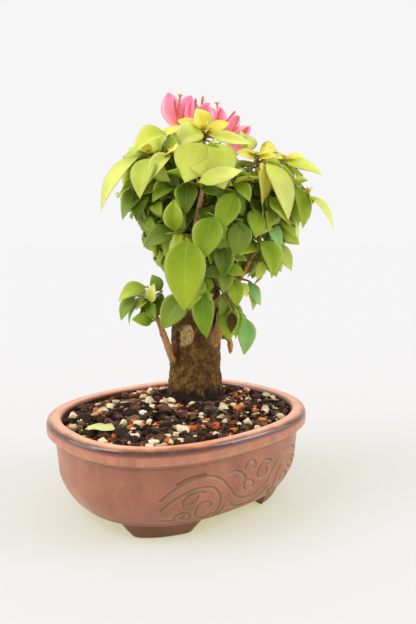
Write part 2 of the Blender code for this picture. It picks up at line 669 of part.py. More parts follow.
def grow_crown():
    """Twigs and leaves of every mass: blossom and showing leaves first, then the twigs, then the rest."""
    growth = Growth()
    crown = {mass: {"stem": mass_stem(mass), "twigs": [], "leaves": []} for mass in MASSES}
    for place, core, bracts, flowers in flower_heads():
        for bract in bracts:
            add_leaf("blossom", crown["blossom"]["leaves"], bract, growth)
        twig = shoot_path(crown["blossom"]["stem"][1:], place)
        crown["blossom"]["twigs"].append((twig, True))
        for path, width in [(twig, TWIG_RADII[0]), (core, HEAD_RADIUS)] + [(f, FLOWER_RADIUS) for f in flowers]:
            growth.add_path("blossom twig", [path[0].lerp(path[-1], t) for t in even(TWIG_SAMPLES)], (width, width))
    shoots = []
    for mass, plan in MASSES.items():
        for base, tip, width, arch in plan["leaves"]:
            base, tip = Vector(base), Vector(tip)
            along = (tip - base).normalized()
            leaf = (base, along, leaf_facing(base, along, FACE_FRONT), (tip - base).length, width, arch)
            if leaf_fits(mass, leaf, growth, True):
                shoots.append((mass, base, leaf))
                add_leaf(mass, [], leaf, growth)
            else:
                print("left out a showing leaf of", mass, base)
    for tip in shoot_tips():
        if in_outline([tip]) and all((tip - place).length > TIP_SPACING for mass, place, leaf in shoots):
            shoots.append((own_mass(tip), tip, None))
    for mass, tip, leaf in shoots:
        path = shoot_path([p for p in crown[mass]["stem"][1:] if growth.free(p, mass)], tip)
        if mass != "blossom" and twig_fits(mass, path, growth):
            crown[mass]["twigs"].append((path, bool(leaf)))
            crown[mass]["leaves"] += [leaf] if leaf else []
            growth.add_path(mass + " twig", [point_on(path, t)[0] for t in even(TWIG_SAMPLES)], TWIG_RADII)
        elif leaf:
            print("no way to a showing leaf of", mass, tip)
    for mass in MASSES:
        rng = random.Random(MASSES[mass]["seed"])
        for path, ends_in_leaf in crown[mass]["twigs"]:
            if mass != "blossom":
                shoot_leaves(mass, path, rng, growth, crown[mass]["leaves"], ends_in_leaf)
    return crown


def mass_radius(mass):
    plan = MASSES[mass]
    return BOUGHS[plan["bough"]]["radii"][1] if plan["bough"] else plan["radius"]


def mass_stem(mass, pieces=3):
    """A mass's stem, which starts in line with its bough and clear of the bough's tip by the gap."""
    plan = MASSES[mass]
    if not plan["bough"]:
        return smooth_path(plan["stem"], pieces)
    path = smooth_path(BOUGHS[plan["bough"]]["points"])
    way = (path[-1] - path[-2]).normalized()
    return [path[-1] + way * GAP] + smooth_path([path[-1] + way * STEM_RUN, *plan["stem"]], pieces)


def flower_heads():
    """Each head's place, its core, its bracts and its flowers."""
    heads = []
    for place, bract_tips, flower_tips in FLOWER_HEADS:
        place = Vector(place)
        lean = sum(((Vector(tip) - place).normalized() for tip in flower_tips), Vector()).normalized()
        bracts, flowers = [], []
        for tip, width in bract_tips:
            along = (Vector(tip) - place).normalized()
            out = across(lean, along)
            bracts.append((place + out, along, across(along, -out), (Vector(tip) - place).length, width, BRACT_ARCH))
        for tip in flower_tips:
            flowers.append([place + (Vector(tip) - place).normalized(), Vector(tip)])
        core = [place - lean * HEAD_RADIUS, place + lean * HEAD_RADIUS * HEAD_OVER]
        heads.append((place, core, bracts, flowers))
    return heads


def make_mass(mass, growth, swollen_trunk, parts, helpers):
    """Everything of one mass, joined into one closed body."""
    pieces = bpy.data.collections.new(mass + "_pieces")
    bpy.context.scene.collection.children.link(pieces)
    stem, twigs, leaves = growth["stem"], [path for path, leaf in growth["twigs"]], growth["leaves"]
    material = "leaf"
    if mass == "blossom":
        material = "bract"
        for place, core, bracts, flowers in flower_heads():
            limb("head", core, (HEAD_RADIUS, HEAD_RADIUS), HEAD_SIDES, pieces, helpers)
            for flower in flowers:
                limb("flower", flower, (FLOWER_RADIUS * FLOWER_FOOT, FLOWER_RADIUS), TWIG_SIDES, pieces, helpers)
    body = limb(mass, stem, (mass_radius(mass), STEM_TIP), STEM_SIDES, parts, helpers, material)
    for path in twigs:
        limb("twig", path, TWIG_RADII, TWIG_SIDES, pieces, helpers)
    for leaf in leaves:
        make_leaf("blade", leaf, pieces)
    boolean(body, "UNION", collection=pieces)
    if not MASSES[mass]["bough"]:
        boolean(body, "DIFFERENCE", swollen_trunk)
    one_body(body.data)
    for piece in list(pieces.objects):
        bpy.data.objects.remove(piece)
    bpy.data.collections.remove(pieces)
    print(mass, len(twigs), "twigs,", len(leaves), "leaves,", len(body.data.polygons), "faces")


def main():
    for thing in list(bpy.data.objects):
        bpy.data.objects.remove(thing)
    parts = bpy.data.collections.new("bougainvillea_bonsai")
    helpers = bpy.data.collections.new("cutters_and_guides")
    bpy.context.scene.collection.children.link(parts)
    bpy.context.scene.collection.children.link(helpers)
    make_pot(parts, helpers)
    make_soil(parts)
    trunk = add_mesh("trunk", trunk_mesh(), parts, "bark")
    trunk.data.shade_smooth()
    swollen_trunk = add_mesh("swollen_trunk", trunk_mesh(GAP), helpers)
    hide(swollen_trunk)
    for name, bough in BOUGHS.items():
        piece = limb(name, smooth_path(bough["points"]), bough["radii"], BOUGH_SIDES, parts, helpers, "bark")
        boolean(piece, "DIFFERENCE", swollen_trunk)
        one_body(piece.data)
        piece.data.shade_smooth()
    for mass, growth in grow_crown().items():
        make_mass(mass, growth, swollen_trunk, parts, helpers)


main()
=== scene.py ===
import itertools
import math
import random
from functools import partial

import bpy
import numpy as np
from mathutils import Matrix, Quaternion, Vector
from mathutils.bvhtree import BVHTree


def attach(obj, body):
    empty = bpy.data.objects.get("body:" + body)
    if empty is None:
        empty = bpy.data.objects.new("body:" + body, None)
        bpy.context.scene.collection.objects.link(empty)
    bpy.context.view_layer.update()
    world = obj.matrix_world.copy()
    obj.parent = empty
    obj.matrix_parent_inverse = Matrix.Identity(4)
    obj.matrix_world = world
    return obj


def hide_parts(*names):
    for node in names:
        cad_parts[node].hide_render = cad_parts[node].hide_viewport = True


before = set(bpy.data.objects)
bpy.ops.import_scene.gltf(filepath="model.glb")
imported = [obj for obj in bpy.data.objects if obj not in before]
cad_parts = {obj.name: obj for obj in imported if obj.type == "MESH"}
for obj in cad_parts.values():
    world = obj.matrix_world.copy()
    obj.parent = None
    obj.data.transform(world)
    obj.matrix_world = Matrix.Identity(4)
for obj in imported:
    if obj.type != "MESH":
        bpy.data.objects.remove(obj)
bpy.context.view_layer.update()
mm = 0.001
tau = math.tau
treeTurn = math.radians(39.2)
toPot = Matrix.Rotation(-treeTurn, 4, "Z")
toPotRows = np.array(toPot.to_3x3())
goldenAngle = math.radians(137.5)


# Nodes and materials

def toLinear(colour):
    # sRGB hex to linear: c / 12.92 up to 0.04045, above it ((c + 0.055) / 1.055) to the power 2.4
    parts = [int(colour[i:i + 2], 16) / 255 for i in (0, 2, 4)]
    return (*[c / 12.92 if c <= 0.04045 else ((c + 0.055) / 1.055) ** 2.4 for c in parts], 1.0)


def give(socket, value):
    # a link from another node's output, or a number or colour of its own
    if isinstance(value, bpy.types.NodeSocket):
        socket.id_data.links.new(value, socket)
    else:
        socket.default_value = toLinear(value) if isinstance(value, str) else value


def fill(node, values):
    # what a node gets by name: a ramp's stops, values for its sockets, or its properties
    for key, value in values.items():
        if key == "stops":
            ramp = node.color_ramp.elements
            while len(ramp) < len(value):
                ramp.new(1.0)
            for i, (place, look) in enumerate(value):
                ramp[i].position = place
                ramp[i].color = toLinear(look) if isinstance(look, str) else (look, look, look, 1.0)
        elif key in node.inputs:
            give(node.inputs[key], value)
        else:
            setattr(node, key, value)
    return node


def addNode(tree, kind, *inputs, **settings):
    # a node with its settings, then its inputs in the order of the sockets that it shows. It gives back the output
    # used here: object coordinates, an attribute's Fac, and otherwise the first one that it shows.
    node = fill(tree.nodes.new("ShaderNode" + kind), settings)
    for socket, value in zip([socket for socket in node.inputs if socket.enabled], inputs):
        give(socket, value)
    usual = {"TexCoord": "Object", "Attribute": "Fac"}.get(kind)
    return node.outputs[usual] if usual else next(socket for socket in node.outputs if socket.enabled)


def newMaterial(name, values):
    # a Principled material with plain values on its own sockets, its shader, and what adds nodes to it
    material = bpy.data.materials.new(name)
    material.use_nodes = True
    tree = material.node_tree
    return material, fill(tree.nodes["Principled BSDF"], values), partial(addNode, tree)


# Meshes from arrays

def grid(*coordinates):
    # x, y and z of different shapes as one array of points
    return np.stack(np.broadcast_arrays(*coordinates), -1)


def tubeFaces(rowCount, ringCount):
    # quads between neighbouring rings, and a fan at each end to a point that follows the rings' points
    r, c = np.arange(rowCount - 1)[:, None] * ringCount, np.arange(ringCount)
    d = (c + 1) % ringCount
    quads = np.stack([r + c, r + d, r + ringCount + d, r + ringCount + c], -1).reshape(-1, 4)
    last, end = (rowCount - 1) * ringCount, np.full(ringCount, rowCount * ringCount)
    return [quads, np.stack([d, c, end], 1), np.stack([last + c, last + d, end + 1], 1)]


def closeTube(rings):
    # (..., rows, ring, 3) to a list of points with the middle of the first and last ring added
    flat = rings.reshape(*rings.shape[:-3], -1, 3)
    return np.concatenate([flat, rings[..., 0, :, :].mean(-2)[..., None, :],
                           rings[..., -1, :, :].mean(-2)[..., None, :]], -2)


def manyFaces(shapes, rowCount, ringCount):
    # the faces of many closed tubes, whose points are an array of shapes
    shift = (np.arange(len(shapes)) * shapes.shape[1])[:, None, None]
    return [(block[None] + shift).reshape(-1, block.shape[1]) for block in tubeFaces(rowCount, ringCount)]


def inPot(points):
    # from the tree's frame to the pot's, as one list of points
    return points.reshape(-1, 3) @ toPotRows.T


def addPiece(name, points, blocks, material, replaces=(), uv=None, marks=None):
    # a smooth-shaded mesh that rides with the part; uv and marks hold one value for each point
    mesh = bpy.data.meshes.new(name)
    mesh.from_pydata((np.asarray(points).reshape(-1, 3) * mm).tolist(), [], [f for b in blocks for f in b.tolist()])
    for mark, values in (marks or {}).items():
        mesh.attributes.new(mark, "FLOAT", "POINT").data.foreach_set("value", np.ravel(values).astype(np.float32))
    if uv is not None:
        corner = np.zeros(len(mesh.loops), np.int32)
        mesh.loops.foreach_get("vertex_index", corner)
        layer = mesh.uv_layers.new(name="surface")
        layer.data.foreach_set("uv", np.asarray(uv, np.float32).reshape(-1, 2)[corner].ravel())
    mesh.shade_smooth()
    mesh.materials.append(material)
    thing = bpy.data.objects.new(name, mesh)
    bpy.context.scene.collection.objects.link(thing)
    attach(thing, "root")
    if replaces:
        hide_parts(*replaces)
    return thing


latticeSize = 32
latticeValues = np.random.default_rng(5).random((latticeSize,) * 3)


def cloud(points, size, seed=0):
    # smooth noise from 0 to 1: random values on a lattice of the given spacing, eased between its corners
    place = np.asarray(points) / size + seed * 7.31
    low = np.floor(place).astype(int)
    t = ease(place - low)
    total = 0
    for corner in itertools.product((0, 1), repeat=3):
        weight = np.prod(np.where(corner, t, 1 - t), axis=-1)
        at = (low + corner) % latticeSize
        total = total + weight * latticeValues[at[..., 0], at[..., 1], at[..., 2]]
    return total


def turns(count):
    # even angles all the way round
    return np.arange(count) / count * tau


def unit(vectors):
    return vectors / np.linalg.norm(vectors, axis=-1, keepdims=True)


def ease(x):
    # 3 x^2 - 2 x^3: 0 to 1 with no slope at either end
    x = np.clip(x, 0, 1)
    return x * x * (3 - 2 * x)


def tubeRings(paths, radii, ringCount):
    # round rings square to each path: (shapes, points, 3) and (shapes, points) to (shapes, points, ring, 3). The
    # first point of a ring lies towards the axis that the path follows least.
    paths, radii = np.asarray(paths, float), np.asarray(radii, float)
    ahead = unit(np.gradient(paths, axis=1))
    mean = np.abs(ahead.mean(1, keepdims=True))
    wish = np.eye(3)[np.argmin(mean[:, 0], axis=-1)][:, None, :]
    side = unit(wish - ahead * (wish * ahead).sum(-1, keepdims=True))
    up = np.cross(ahead, side)
    turn = turns(ringCount)[:, None]
    ring = side[:, :, None] * np.cos(turn) + up[:, :, None] * np.sin(turn)
    return paths[:, :, None] + ring * radii[..., None, None]


def smoothPath(points, pieces=4):
    # points on a curve through the given ones: on each span a cubic whose end slopes are half the chord of its
    # neighbours
    points = [Vector(p) for p in points]
    ends = [points[0] * 2 - points[1]] + points + [points[-1] * 2 - points[-2]]
    path = []
    for a, b, c, d in zip(ends, ends[1:], ends[2:], ends[3:]):
        for step in range(pieces):
            t = step / pieces
            path.append(0.5 * (2 * b + (c - a) * t + (2 * a - 5 * b + 4 * c - d) * t * t
                               + (3 * b - a - 3 * c + d) * t ** 3))
    return path + [points[-1]]


def pathLengths(points):
    # how far along a row of points each one lies
    return np.concatenate([[0], np.cumsum(np.linalg.norm(np.diff(points, axis=0), axis=1))])


def spread(path, count):
    # count points evenly spaced along a path
    path = np.array([tuple(p) for p in path])
    far = pathLengths(path)
    where = np.linspace(0, far[-1], count)
    return np.stack([np.interp(where, far, path[:, k]) for k in range(3)], -1)


# Camera, floor and lights

studio = {
    "eye": (-268.3, -364.1, 202.5), "pitch": 82.73, "turn": -39.16, "lens": 34.33,
    "backdrop": "f6f6f6", "floor": "9494b3", "glow": "bbb98c",
    "discs": (20.0, 400.0, 12000.0), "around": 96, "floorDrop": 0.4,   # the floor ends at the horizon, 12 m off
    "lamps": (((-92, 34, 105), 1.2, 36), ((80, -75, 84), 0.75, 28),    # direction, strength, softness in degrees
              ((-80, 56, 26), 0.7, 40), ((76, -60, 26), 0.5, 40)),
}


def makeStudio():
    # a camera at the photograph's angle, a pale world, soft lamps, and a floor of rings out to the horizon
    scene = bpy.context.scene
    camera = bpy.data.objects.new("camera", bpy.data.cameras.new("camera"))
    camera.location = Vector(studio["eye"]) * mm
    camera.rotation_euler = (math.radians(studio["pitch"]), 0, math.radians(studio["turn"]))
    camera.data.lens = studio["lens"]
    camera.data.clip_start = 0.01
    scene.collection.objects.link(camera)
    scene.camera = camera
    scene.view_settings.view_transform = "Standard"

    world = bpy.data.worlds.new("studio_white")
    scene.world = world
    world.use_nodes = True
    world.node_tree.nodes["Background"].inputs["Color"].default_value = toLinear(studio["backdrop"])

    for i, (way, strength, softness) in enumerate(studio["lamps"]):
        lamp = bpy.data.lights.new("soft_lamp_%d" % i, "SUN")
        lamp.energy, lamp.angle = strength, math.radians(softness)
        thing = bpy.data.objects.new(lamp.name, lamp)
        thing.rotation_euler = Vector(way).to_track_quat("Z", "Y").to_euler()
        scene.collection.objects.link(thing)

    # the floor has no fan at its outer edge
    turn, radius = turns(studio["around"]), np.array(studio["discs"])[:, None]
    rings = grid(np.cos(turn) * radius, np.sin(turn) * radius, -studio["floorDrop"])
    mesh = bpy.data.meshes.new("floor")
    blocks = tubeFaces(*rings.shape[:2])[:2]
    mesh.from_pydata((closeTube(rings) * mm).tolist(), [], [f[::-1] for b in blocks for f in b.tolist()])
    floor = bpy.data.objects.new("floor", mesh)
    scene.collection.objects.link(floor)
    # matt photographer's paper with no sheen, so it fades into the backdrop. Its emission is painted light: a warm
    # glow that keeps it evenly pale and lifts the shadows cast on it
    mesh.materials.append(newMaterial("matt_paper", {
        "Base Color": studio["floor"], "Roughness": 0.9, "Specular IOR Level": 0.0,
        "Emission Color": studio["glow"], "Emission Strength": 1.0})[0])


makeStudio()
print("studio made")


# Pot: thrown or pressed oval of glazed stoneware with a carved scroll

pot = {
    "halfLength": 100.0, "halfWidth": 84.0, "squareness": 2.42, "height": 70.0,
    # (height, how far in from the rim's outline), from the underside to the inner floor
    "under": ((10.5, 70), (10.5, 45), (10.5, 26), (10.45, 20), (10.7, 18.2), (11.4, 17.0)),
    "body": ((11.4, 17.0), (14, 14.9), (20, 11.4), (28, 8.3), (38, 7.3), (48, 6.5), (54.4, 5.8)),
    "rim": ((54.9, 5.95), (55.4, 6.25), (55.9, 5.9), (56.3, 5.55), (56.8, 5.85), (57.2, 6.0), (57.6, 5.4),
            (58.1, 3.9), (58.5, 2.2), (59.0, 0.9), (59.7, 0.2), (60.8, 0.0), (62.5, 0.0), (64.4, 0.0),
            (65.8, 0.05), (66.2, 0.3), (66.5, 0.35), (66.9, 0.2), (67.5, 0.35), (68.2, 0.65), (68.9, 1.1),
            (69.4, 1.65), (69.75, 2.3), (69.95, 3.1), (70.0, 4.2), (70.0, 5.8), (69.95, 7.4), (69.8, 8.6),
            (69.4, 9.5), (68.7, 10.2), (67.6, 10.7), (66.0, 11.0), (64.0, 11.2), (60, 11.6)),
    "inside": ((52, 12.6), (38, 14.2), (24, 19.0), (18, 26.0), (16, 36.0), (16, 60)),
    "bandTop": 53.0, "bandStep": 0.6,         # rows of the carved band
    "plainStep": 2.2, "carvedStep": 0.62,     # columns away from the scroll and across it
    "footInsets": (20.0, 24.0), "footTop": 10.5, "footGaps": (34.0, 39.0), "footSlope": 4.0, "footTopInset": 17.6,
    "footLevels": (0.0, 0.5, 1.4, 3, 5, 7, 9, 10.2, 11.4), "footArc": 26, "footSide": 9,
    "footTuck": (0.7, 1.4, 0.15),             # how far the ground edge is drawn in, up to which height, and least
    "wallInset": 7.0, "innerRows": 12,        # the line that the scroll is laid along, and rim rows that face inwards
    "dents": ((26.0, 1, 0.5), (5.0, 2, 0.09)),   # how far the hand-made wall wanders: size, seed, depth
}

# The scroll's runs as (along the wall from the pattern's middle, height). Side runs are mirrored too.
scroll = {
    "middle": 5.5, "reach": 75.0, "groove": 0.92, "depth": 0.85, "lip": 0.2, "lipAway": 1.9, "lipWidth": 0.55,
    "lipKept": 0.6, "wander": (9.0, 3, 0.3),   # the hand's wandering: its size, seed and share
    "band": (11.4, 52.0), "none": 9.0,   # the heights that it lies between, and what stands for far from any run
    "sides": (
        ((-71, 33), (-62, 40), (-52, 45), (-42, 46.6), (-33, 45), (-26, 40.5), (-20, 33.5), (-15, 27), (-8, 23),
         (0, 21.8)),
        ((-71, 26), (-61, 33.5), (-50, 38.3), (-42, 39), (-34, 37.3), (-28.8, 32), (-27.2, 26), (-28, 20.5),
         (-31, 13.5)),
        ((-23.3, 20.2), (-25, 17.4), (-27.5, 14.3)),
        ((-40, 35.7), (-46, 36), (-52, 34.6), (-55.9, 30.5), (-55, 27.6)),
        ((-52.5, 28.6), (-49.4, 29.1), (-46.4, 30.6), (-45.1, 33.2)),
        ((-37, 23.5), (-34.6, 25.2), (-36, 27.3), (-40, 28.4), (-43.8, 27.4), (-46.2, 23.6), (-46, 18.6),
         (-42.5, 15.4), (-37.4, 14.9), (-32.8, 17.0)),
        ((-71.3, 17.2), (-62.3, 16.8), (-61.6, 20), (-56, 22.6), (-50.6, 20.8), (-50.2, 16.4), (-54, 16.2),
         (-56.8, 18.4), (-54.7, 19.8)),
        ((-19.8, 24.3), (-15.5, 19.5), (-8.9, 16.2), (0, 15))),
    "centre": (
        ((-19.8, 44.6), (-16.7, 45.2), (-12.1, 43.4), (-7.7, 40), (-5.9, 36.5), (-7.5, 33.5), (-7.4, 30.8),
         (-5.6, 28.8)),
        ((-3.8, 34.7), (-0.8, 34.5), (2, 32), (1.7, 29.7), (-0.7, 29.3)),
        ((-7.1, 44.3), (-5.9, 47.4), (-2.8, 49.2), (0.7, 48.7), (3, 45.8), (2.2, 43.4), (-0.6, 42.4)),
        ((19.5, 43.5), (14.6, 45.7), (10.4, 44.6), (6.6, 40.7), (5, 36.7), (6.8, 34.4), (10.6, 34.1),
         (14.8, 36.2), (14.9, 39.4))),
    # a dark red slip of glaze over the left crest
    "streak": ((-59.6, 43.9), (-54, 46.6), (-47, 48.0), (-39.5, 48.3)),
}


def ovalRing(insetX, insetY, height, angle):
    # squared oval: x and y are half sizes times sine and cosine to the power 2 / squareness, from -y turning to +x
    power = 2 / pot["squareness"]
    s, c = np.sin(angle), np.cos(angle)
    x = (pot["halfLength"] - insetX) * np.sign(s) * np.abs(s) ** power
    y = -(pot["halfWidth"] - insetY) * np.sign(c) * np.abs(c) ** power
    return grid(x, y, height)


def runDistance(runs, along, height):
    # how far each place on the wall is from the nearest run
    nearest = np.full(along.shape, scroll["none"])
    for run in runs:
        path = np.array([(p.x, p.y) for p in smoothPath([(u, z, 0) for u, z in run], 8)])
        a, step = path[:-1], np.diff(path, axis=0)
        toPlace = np.stack([along, height], -1)[..., None, :] - a
        t = np.clip((toPlace * step).sum(-1) / (step ** 2).sum(-1), 0, 1)
        nearest = np.minimum(nearest, np.linalg.norm(toPlace - step * t[..., None], axis=-1).min(-1))
    return nearest


def wallProfile():
    # the whole profile as (height, inset), with close rows through the carved band
    body = np.array([(p.x, p.y) for p in smoothPath([(i, z, 0) for z, i in pot["body"]], 12)])
    band = np.arange(pot["body"][0][0], pot["bandTop"], pot["bandStep"])
    heights = np.append(band, pot["body"][-1][0])
    rows = list(pot["under"][:-1]) + list(zip(heights, np.interp(heights, body[:, 1], body[:, 0])))
    return np.array(rows + list(pot["rim"]) + list(pot["inside"]))


def footRings(signX, signY):
    # a foot: the oval's quadrant between two straight cuts that lean a little, drawn in at its ground edge
    rings, (deep, tall, least) = [], pot["footTuck"]
    for z in pot["footLevels"]:
        t = z / pot["footTop"]
        insets = [bottom + (pot["footTopInset"] - bottom) * t for bottom in pot["footInsets"]]
        tuck = deep * (1 - ease(z / tall)) + least
        gaps = [gap - pot["footSlope"] * t + tuck for gap in pot["footGaps"]]
        half = (pot["halfLength"] - insets[0] - tuck, pot["halfWidth"] - insets[1] - tuck)
        power = pot["squareness"] / 2
        first, last = math.asin((gaps[0] / half[0]) ** power), math.acos((gaps[1] / half[1]) ** power)
        arc = ovalRing(insets[0] + tuck, insets[1] + tuck, z, np.linspace(first, last, pot["footArc"]))
        k = np.linspace(0, 1, pot["footSide"])[1:-1, None]
        corner = np.array([gaps[0], -gaps[1], z])
        ring = np.concatenate([arc, arc[-1] + (corner - arc[-1]) * k, [corner], corner + (arc[0] - corner) * k])
        rings.append(ring)
    rings = np.array(rings) * (signX, signY, 1)
    return rings[:, ::-1] if signX * signY < 0 else rings


def makePot():
    # the profile carried round the oval, cut by the grooves and raised beside them, and four feet
    profile = wallProfile()
    reach, none = scroll["reach"], scroll["none"]
    # places along the wall, close together across each scroll, and then their angles. The first scroll's middle
    # lies a little round from the near side, and the second one half the way round from it.
    angle = np.linspace(0, tau, 20001)
    far = pathLengths(ovalRing(pot["wallInset"], pot["wallInset"], 0.0, angle))
    half = far[-1] / 2
    stations = np.concatenate([np.arange(-reach, reach, pot["carvedStep"]),
                               np.arange(reach, half - reach, pot["plainStep"])])
    stations = np.concatenate([stations, stations + half])
    angle = np.interp((stations + scroll["middle"]) % far[-1], far, angle)
    along = (stations + half / 2) % half - half / 2
    heights, insets = profile[:, :1], profile[:, 1:]
    rings = ovalRing(insets, insets, heights, angle[None, :])

    outer = np.arange(len(profile))[:, None] < len(profile) - len(pot["inside"]) - pot["innerRows"]
    runs = list(scroll["centre"]) + list(scroll["sides"])
    runs += [[(-u, z) for u, z in run] for run in scroll["sides"]]
    wall = np.broadcast_arrays(along[None, :], heights)
    carved = outer & (heights > scroll["band"][0]) & (heights < scroll["band"][1])
    away = np.where(carved, runDistance(runs, *wall), none)
    streak = np.where(outer & (rings[..., 1] < 0), runDistance([scroll["streak"]], *wall), none)
    size, seed, share = scroll["wander"]
    wander = cloud(rings, size, seed) - 0.5
    cut = scroll["depth"] * (1 - ease((away + wander * share) / scroll["groove"] - 0.25))
    lip = scroll["lip"] * np.exp(-((away - scroll["lipAway"]) / scroll["lipWidth"]) ** 2)
    dents = np.where(outer, sum((cloud(rings, size, seed) - 0.5) * depth for size, seed, depth in pot["dents"]), 0)
    # outwards is the slope of the oval's own measure
    power, sizes = pot["squareness"] - 1, np.array((pot["halfLength"], pot["halfWidth"]))
    flat = rings[..., :2]
    outward = np.sign(flat) * (np.abs(flat) / sizes) ** power * (sizes[0] / sizes)
    rings[..., :2] += unit(outward) * (np.minimum(dents, 0) + lip * scroll["lipKept"] - cut)[..., None]

    # place up the wall: height on the outside, then 70 mm plus the run over the top and down the inside
    run = pathLengths(profile)
    top = np.argmax(profile[:, 0] >= pot["height"] - 0.1)
    place = np.where(np.arange(len(profile)) <= top, profile[:, 0], pot["height"] + run - run[top])
    place = np.broadcast_to(place[:, None], rings.shape[:2])

    # the last two points close the bowl under its floor and inside it, and the feet have no carving
    points, blocks = [closeTube(rings)], tubeFaces(*rings.shape[:2])
    ends = (pot["under"][0][0], potColours[-1][0])
    marks = {"wallPlace": [np.append(place, ends)], "scrollAway": [np.append(away, (none, none))],
             "streakAway": [np.append(streak, (none, none))]}
    for signX, signY in itertools.product((1, -1), repeat=2):
        foot = footRings(signX, signY)
        blocks += [b + sum(len(p) for p in points) for b in tubeFaces(*foot.shape[:2])]
        points.append(closeTube(foot))
        up = points[-1][:, 2]
        for mark, values in (("wallPlace", up * 0.7), ("scrollAway", up * 0 + none), ("streakAway", up * 0 + none)):
            marks[mark].append(values)
    addPiece("glazed_pot", np.concatenate(points), blocks, potGlaze(), ("pot",),
             marks={mark: np.concatenate(values) for mark, values in marks.items()})
    print("pot made,", sum(len(b) for b in blocks), "faces")


# (place up the wall in mm, colour): bare foot, glaze, dark where it runs thin over the rim's edge, the rim's flat top
# made lighter as painted light on the face turned up, and the inner wall, darkening further down as painted shade
potColours = ((0, "673e28"), (7.4, "75492e"), (8.4, "a0624a"), (11.6, "a8694e"), (12.4, "7a3c2c"), (13.4, "743626"),
              (14.6, "9a5c42"), (20, "a06045"), (54.6, "a8684c"), (55.4, "975a44"), (56.1, "c08468"),
              (57.1, "8a4c36"), (58.2, "c48762"), (61, "bf7f5c"), (64.8, "b9765a"), (65.8, "8c4a36"),
              (66.9, "7a3c28"), (67.5, "3a1a08"), (68.9, "4a240c"), (69.6, "b0704f"), (70.8, "eea07a"),
              (75.2, "f8ae86"), (76.6, "d08a6a"), (78.2, "6a3a2c"), (80.5, "42261e"), (99, "2c1a17"))
potShine = ((0, 0.85), (7.4, 0.8), (8.6, 0.42), (65, 0.34), (66.9, 0.3), (67.5, 0.1), (68.9, 0.1), (69.8, 0.3),
            (76, 0.3), (78, 0.16), (99, 0.3))
# (a tenth of the distance from a groove in mm, colour): olive in the groove, then a lighter band along its carved
# edge that is a painted highlight, then the plain glaze
scrollColours = ((0, "7c6234"), (0.07, "86693c"), (0.105, "905e42"), (0.15, "bd8066"), (0.2, "b87a60"), (1, "a9694e"))


def potGlaze():
    # iron-bearing satin glaze on pressed stoneware: dusty pink where thick, dark and glossy where it thins on the rim
    material, shader, add = newMaterial("satin_glazed_stoneware", {
        "IOR": 1.6, "Sheen Weight": 0.3, "Sheen Roughness": 0.35, "Sheen Tint": "ffd9b4",
        "Coat IOR": 2.0, "Coat Roughness": 0.06})
    spots = add("TexCoord")
    place = add("Attribute", attribute_name="wallPlace")
    away = add("Attribute", attribute_name="scrollAway")
    # 16 mm clouds of glaze thickness, 1.6 mm mottle and 0.7 mm iron specks, drawn coarser than real to show
    clouds = add("TexNoise", spots, 1000 / 16, 3.0)
    mottle = add("TexNoise", spots, 1000 / 1.6, 4.0, 0.65)
    specks = add("TexVoronoi", spots, 1000 / 2.4)
    shift = add("Math", clouds, 1.3, -0.65, operation="MULTIPLY_ADD")
    wandering = add("Math", place, shift, operation="ADD")
    scaled = add("Math", wandering, 0.01, operation="MULTIPLY")
    # the wall's colours carry painted light on the rim's flat top and painted shade down the inner wall
    base = add("ValToRGB", scaled, stops=[(mmUp / 100, look) for mmUp, look in potColours])
    reach = add("Math", away, 0.1, operation="MULTIPLY")
    carved = add("ValToRGB", reach, stops=scrollColours)
    near = add("MapRange", away, 2.1, 1.1, 0, 0.8)
    # 9 mm runs of darker, redder glaze, longer upright than across
    drawn = add("Mapping", spots, Scale=(1, 1, 0.45))
    runs = add("TexNoise", drawn, 1000 / 9, 4.0, 0.6)
    share = add("MapRange", runs, 0.48, 0.72, 0, 0.4)
    flowing = add("Mix", share, base, "8a4630", data_type="RGBA")
    glazed = add("Mix", near, flowing, carved, data_type="RGBA")
    streak = add("Attribute", attribute_name="streakAway")
    red = add("MapRange", streak, 1.3, 0.1, 0, 0.9)
    glazed = add("Mix", red, glazed, "6a2014", data_type="RGBA")
    paleness = add("MapRange", clouds, 0.35, 0.7, 0.86, 1.12)
    grain = add("MapRange", mottle, 0.3, 0.7, 0.93, 1.06)
    both = add("Math", paleness, grain, operation="MULTIPLY")
    speck = add("MapRange", specks, 0.1, 0.24, 0.72)
    tone = add("Math", both, speck, operation="MULTIPLY")
    colour = add("VectorMath", glazed, tone, operation="SCALE")
    shine = add("ValToRGB", scaled, stops=[(mmUp / 100, look) for mmUp, look in potShine])
    # the glaze has run clear and glassy over the rim's edge
    glass = add("ValToRGB", scaled, stops=((0.668, 0.0), (0.675, 0.12), (0.688, 0.12), (0.694, 0.0)))
    bump = add("Bump", Strength=0.25, Distance=0.0003, Height=mottle)
    fill(shader, {"Coat Weight": glass, "Base Color": colour, "Roughness": shine, "Normal": bump})
    return material


makePot()

# Trunk and boughs, in the tree's frame: the part's own sizes and rules, with the bark's relief on them

trunk = {
    "foot": Vector((10.7, 25.0, 71.0)), "top": Vector((12.6, 26.0, 168.0)), "radius": 20.2, "topRadius": 18.2,
    "flare": 4.2, "flareHeight": 9.0, "lobes": 5, "lobeDepth": 1.6, "lobeTurn": 0.6, "lobesUp": 0.25,
    "knob": (124.0, math.radians(-38), 3.6, 0.5, 8.0),   # height, side, size, half width in radians, half height
    "knobFresh": (0.34, 7.0),                            # its pale middle's half width and half height
    "below": 1.5, "rowStep": 0.62, "columns": 210, "relief": 1.0, "drawn": 0.8, "fine": 0.5, "fineSize": 1.5,
    "shoulder": 4.0, "shoulderRows": 9, "shoulderIn": 0.2, "cap": (0.7, 0.1, 6), "places": 60,
}
# the scar of a lost limb on the trunk: an oval with a broken edge, a raised collar round it and a rough sunken face
scarForm = {"height": 125.5, "side": math.radians(-112), "halfHeight": 8.6, "halfWidth": 0.40, "broken": 0.7,
            "brokenSize": 4.5, "edge": 0.75, "fade": 0.25, "collar": 0.9, "collarWidth": 0.2, "sunk": 0.3,
            "rough": 1.3, "roughSize": 2.6}
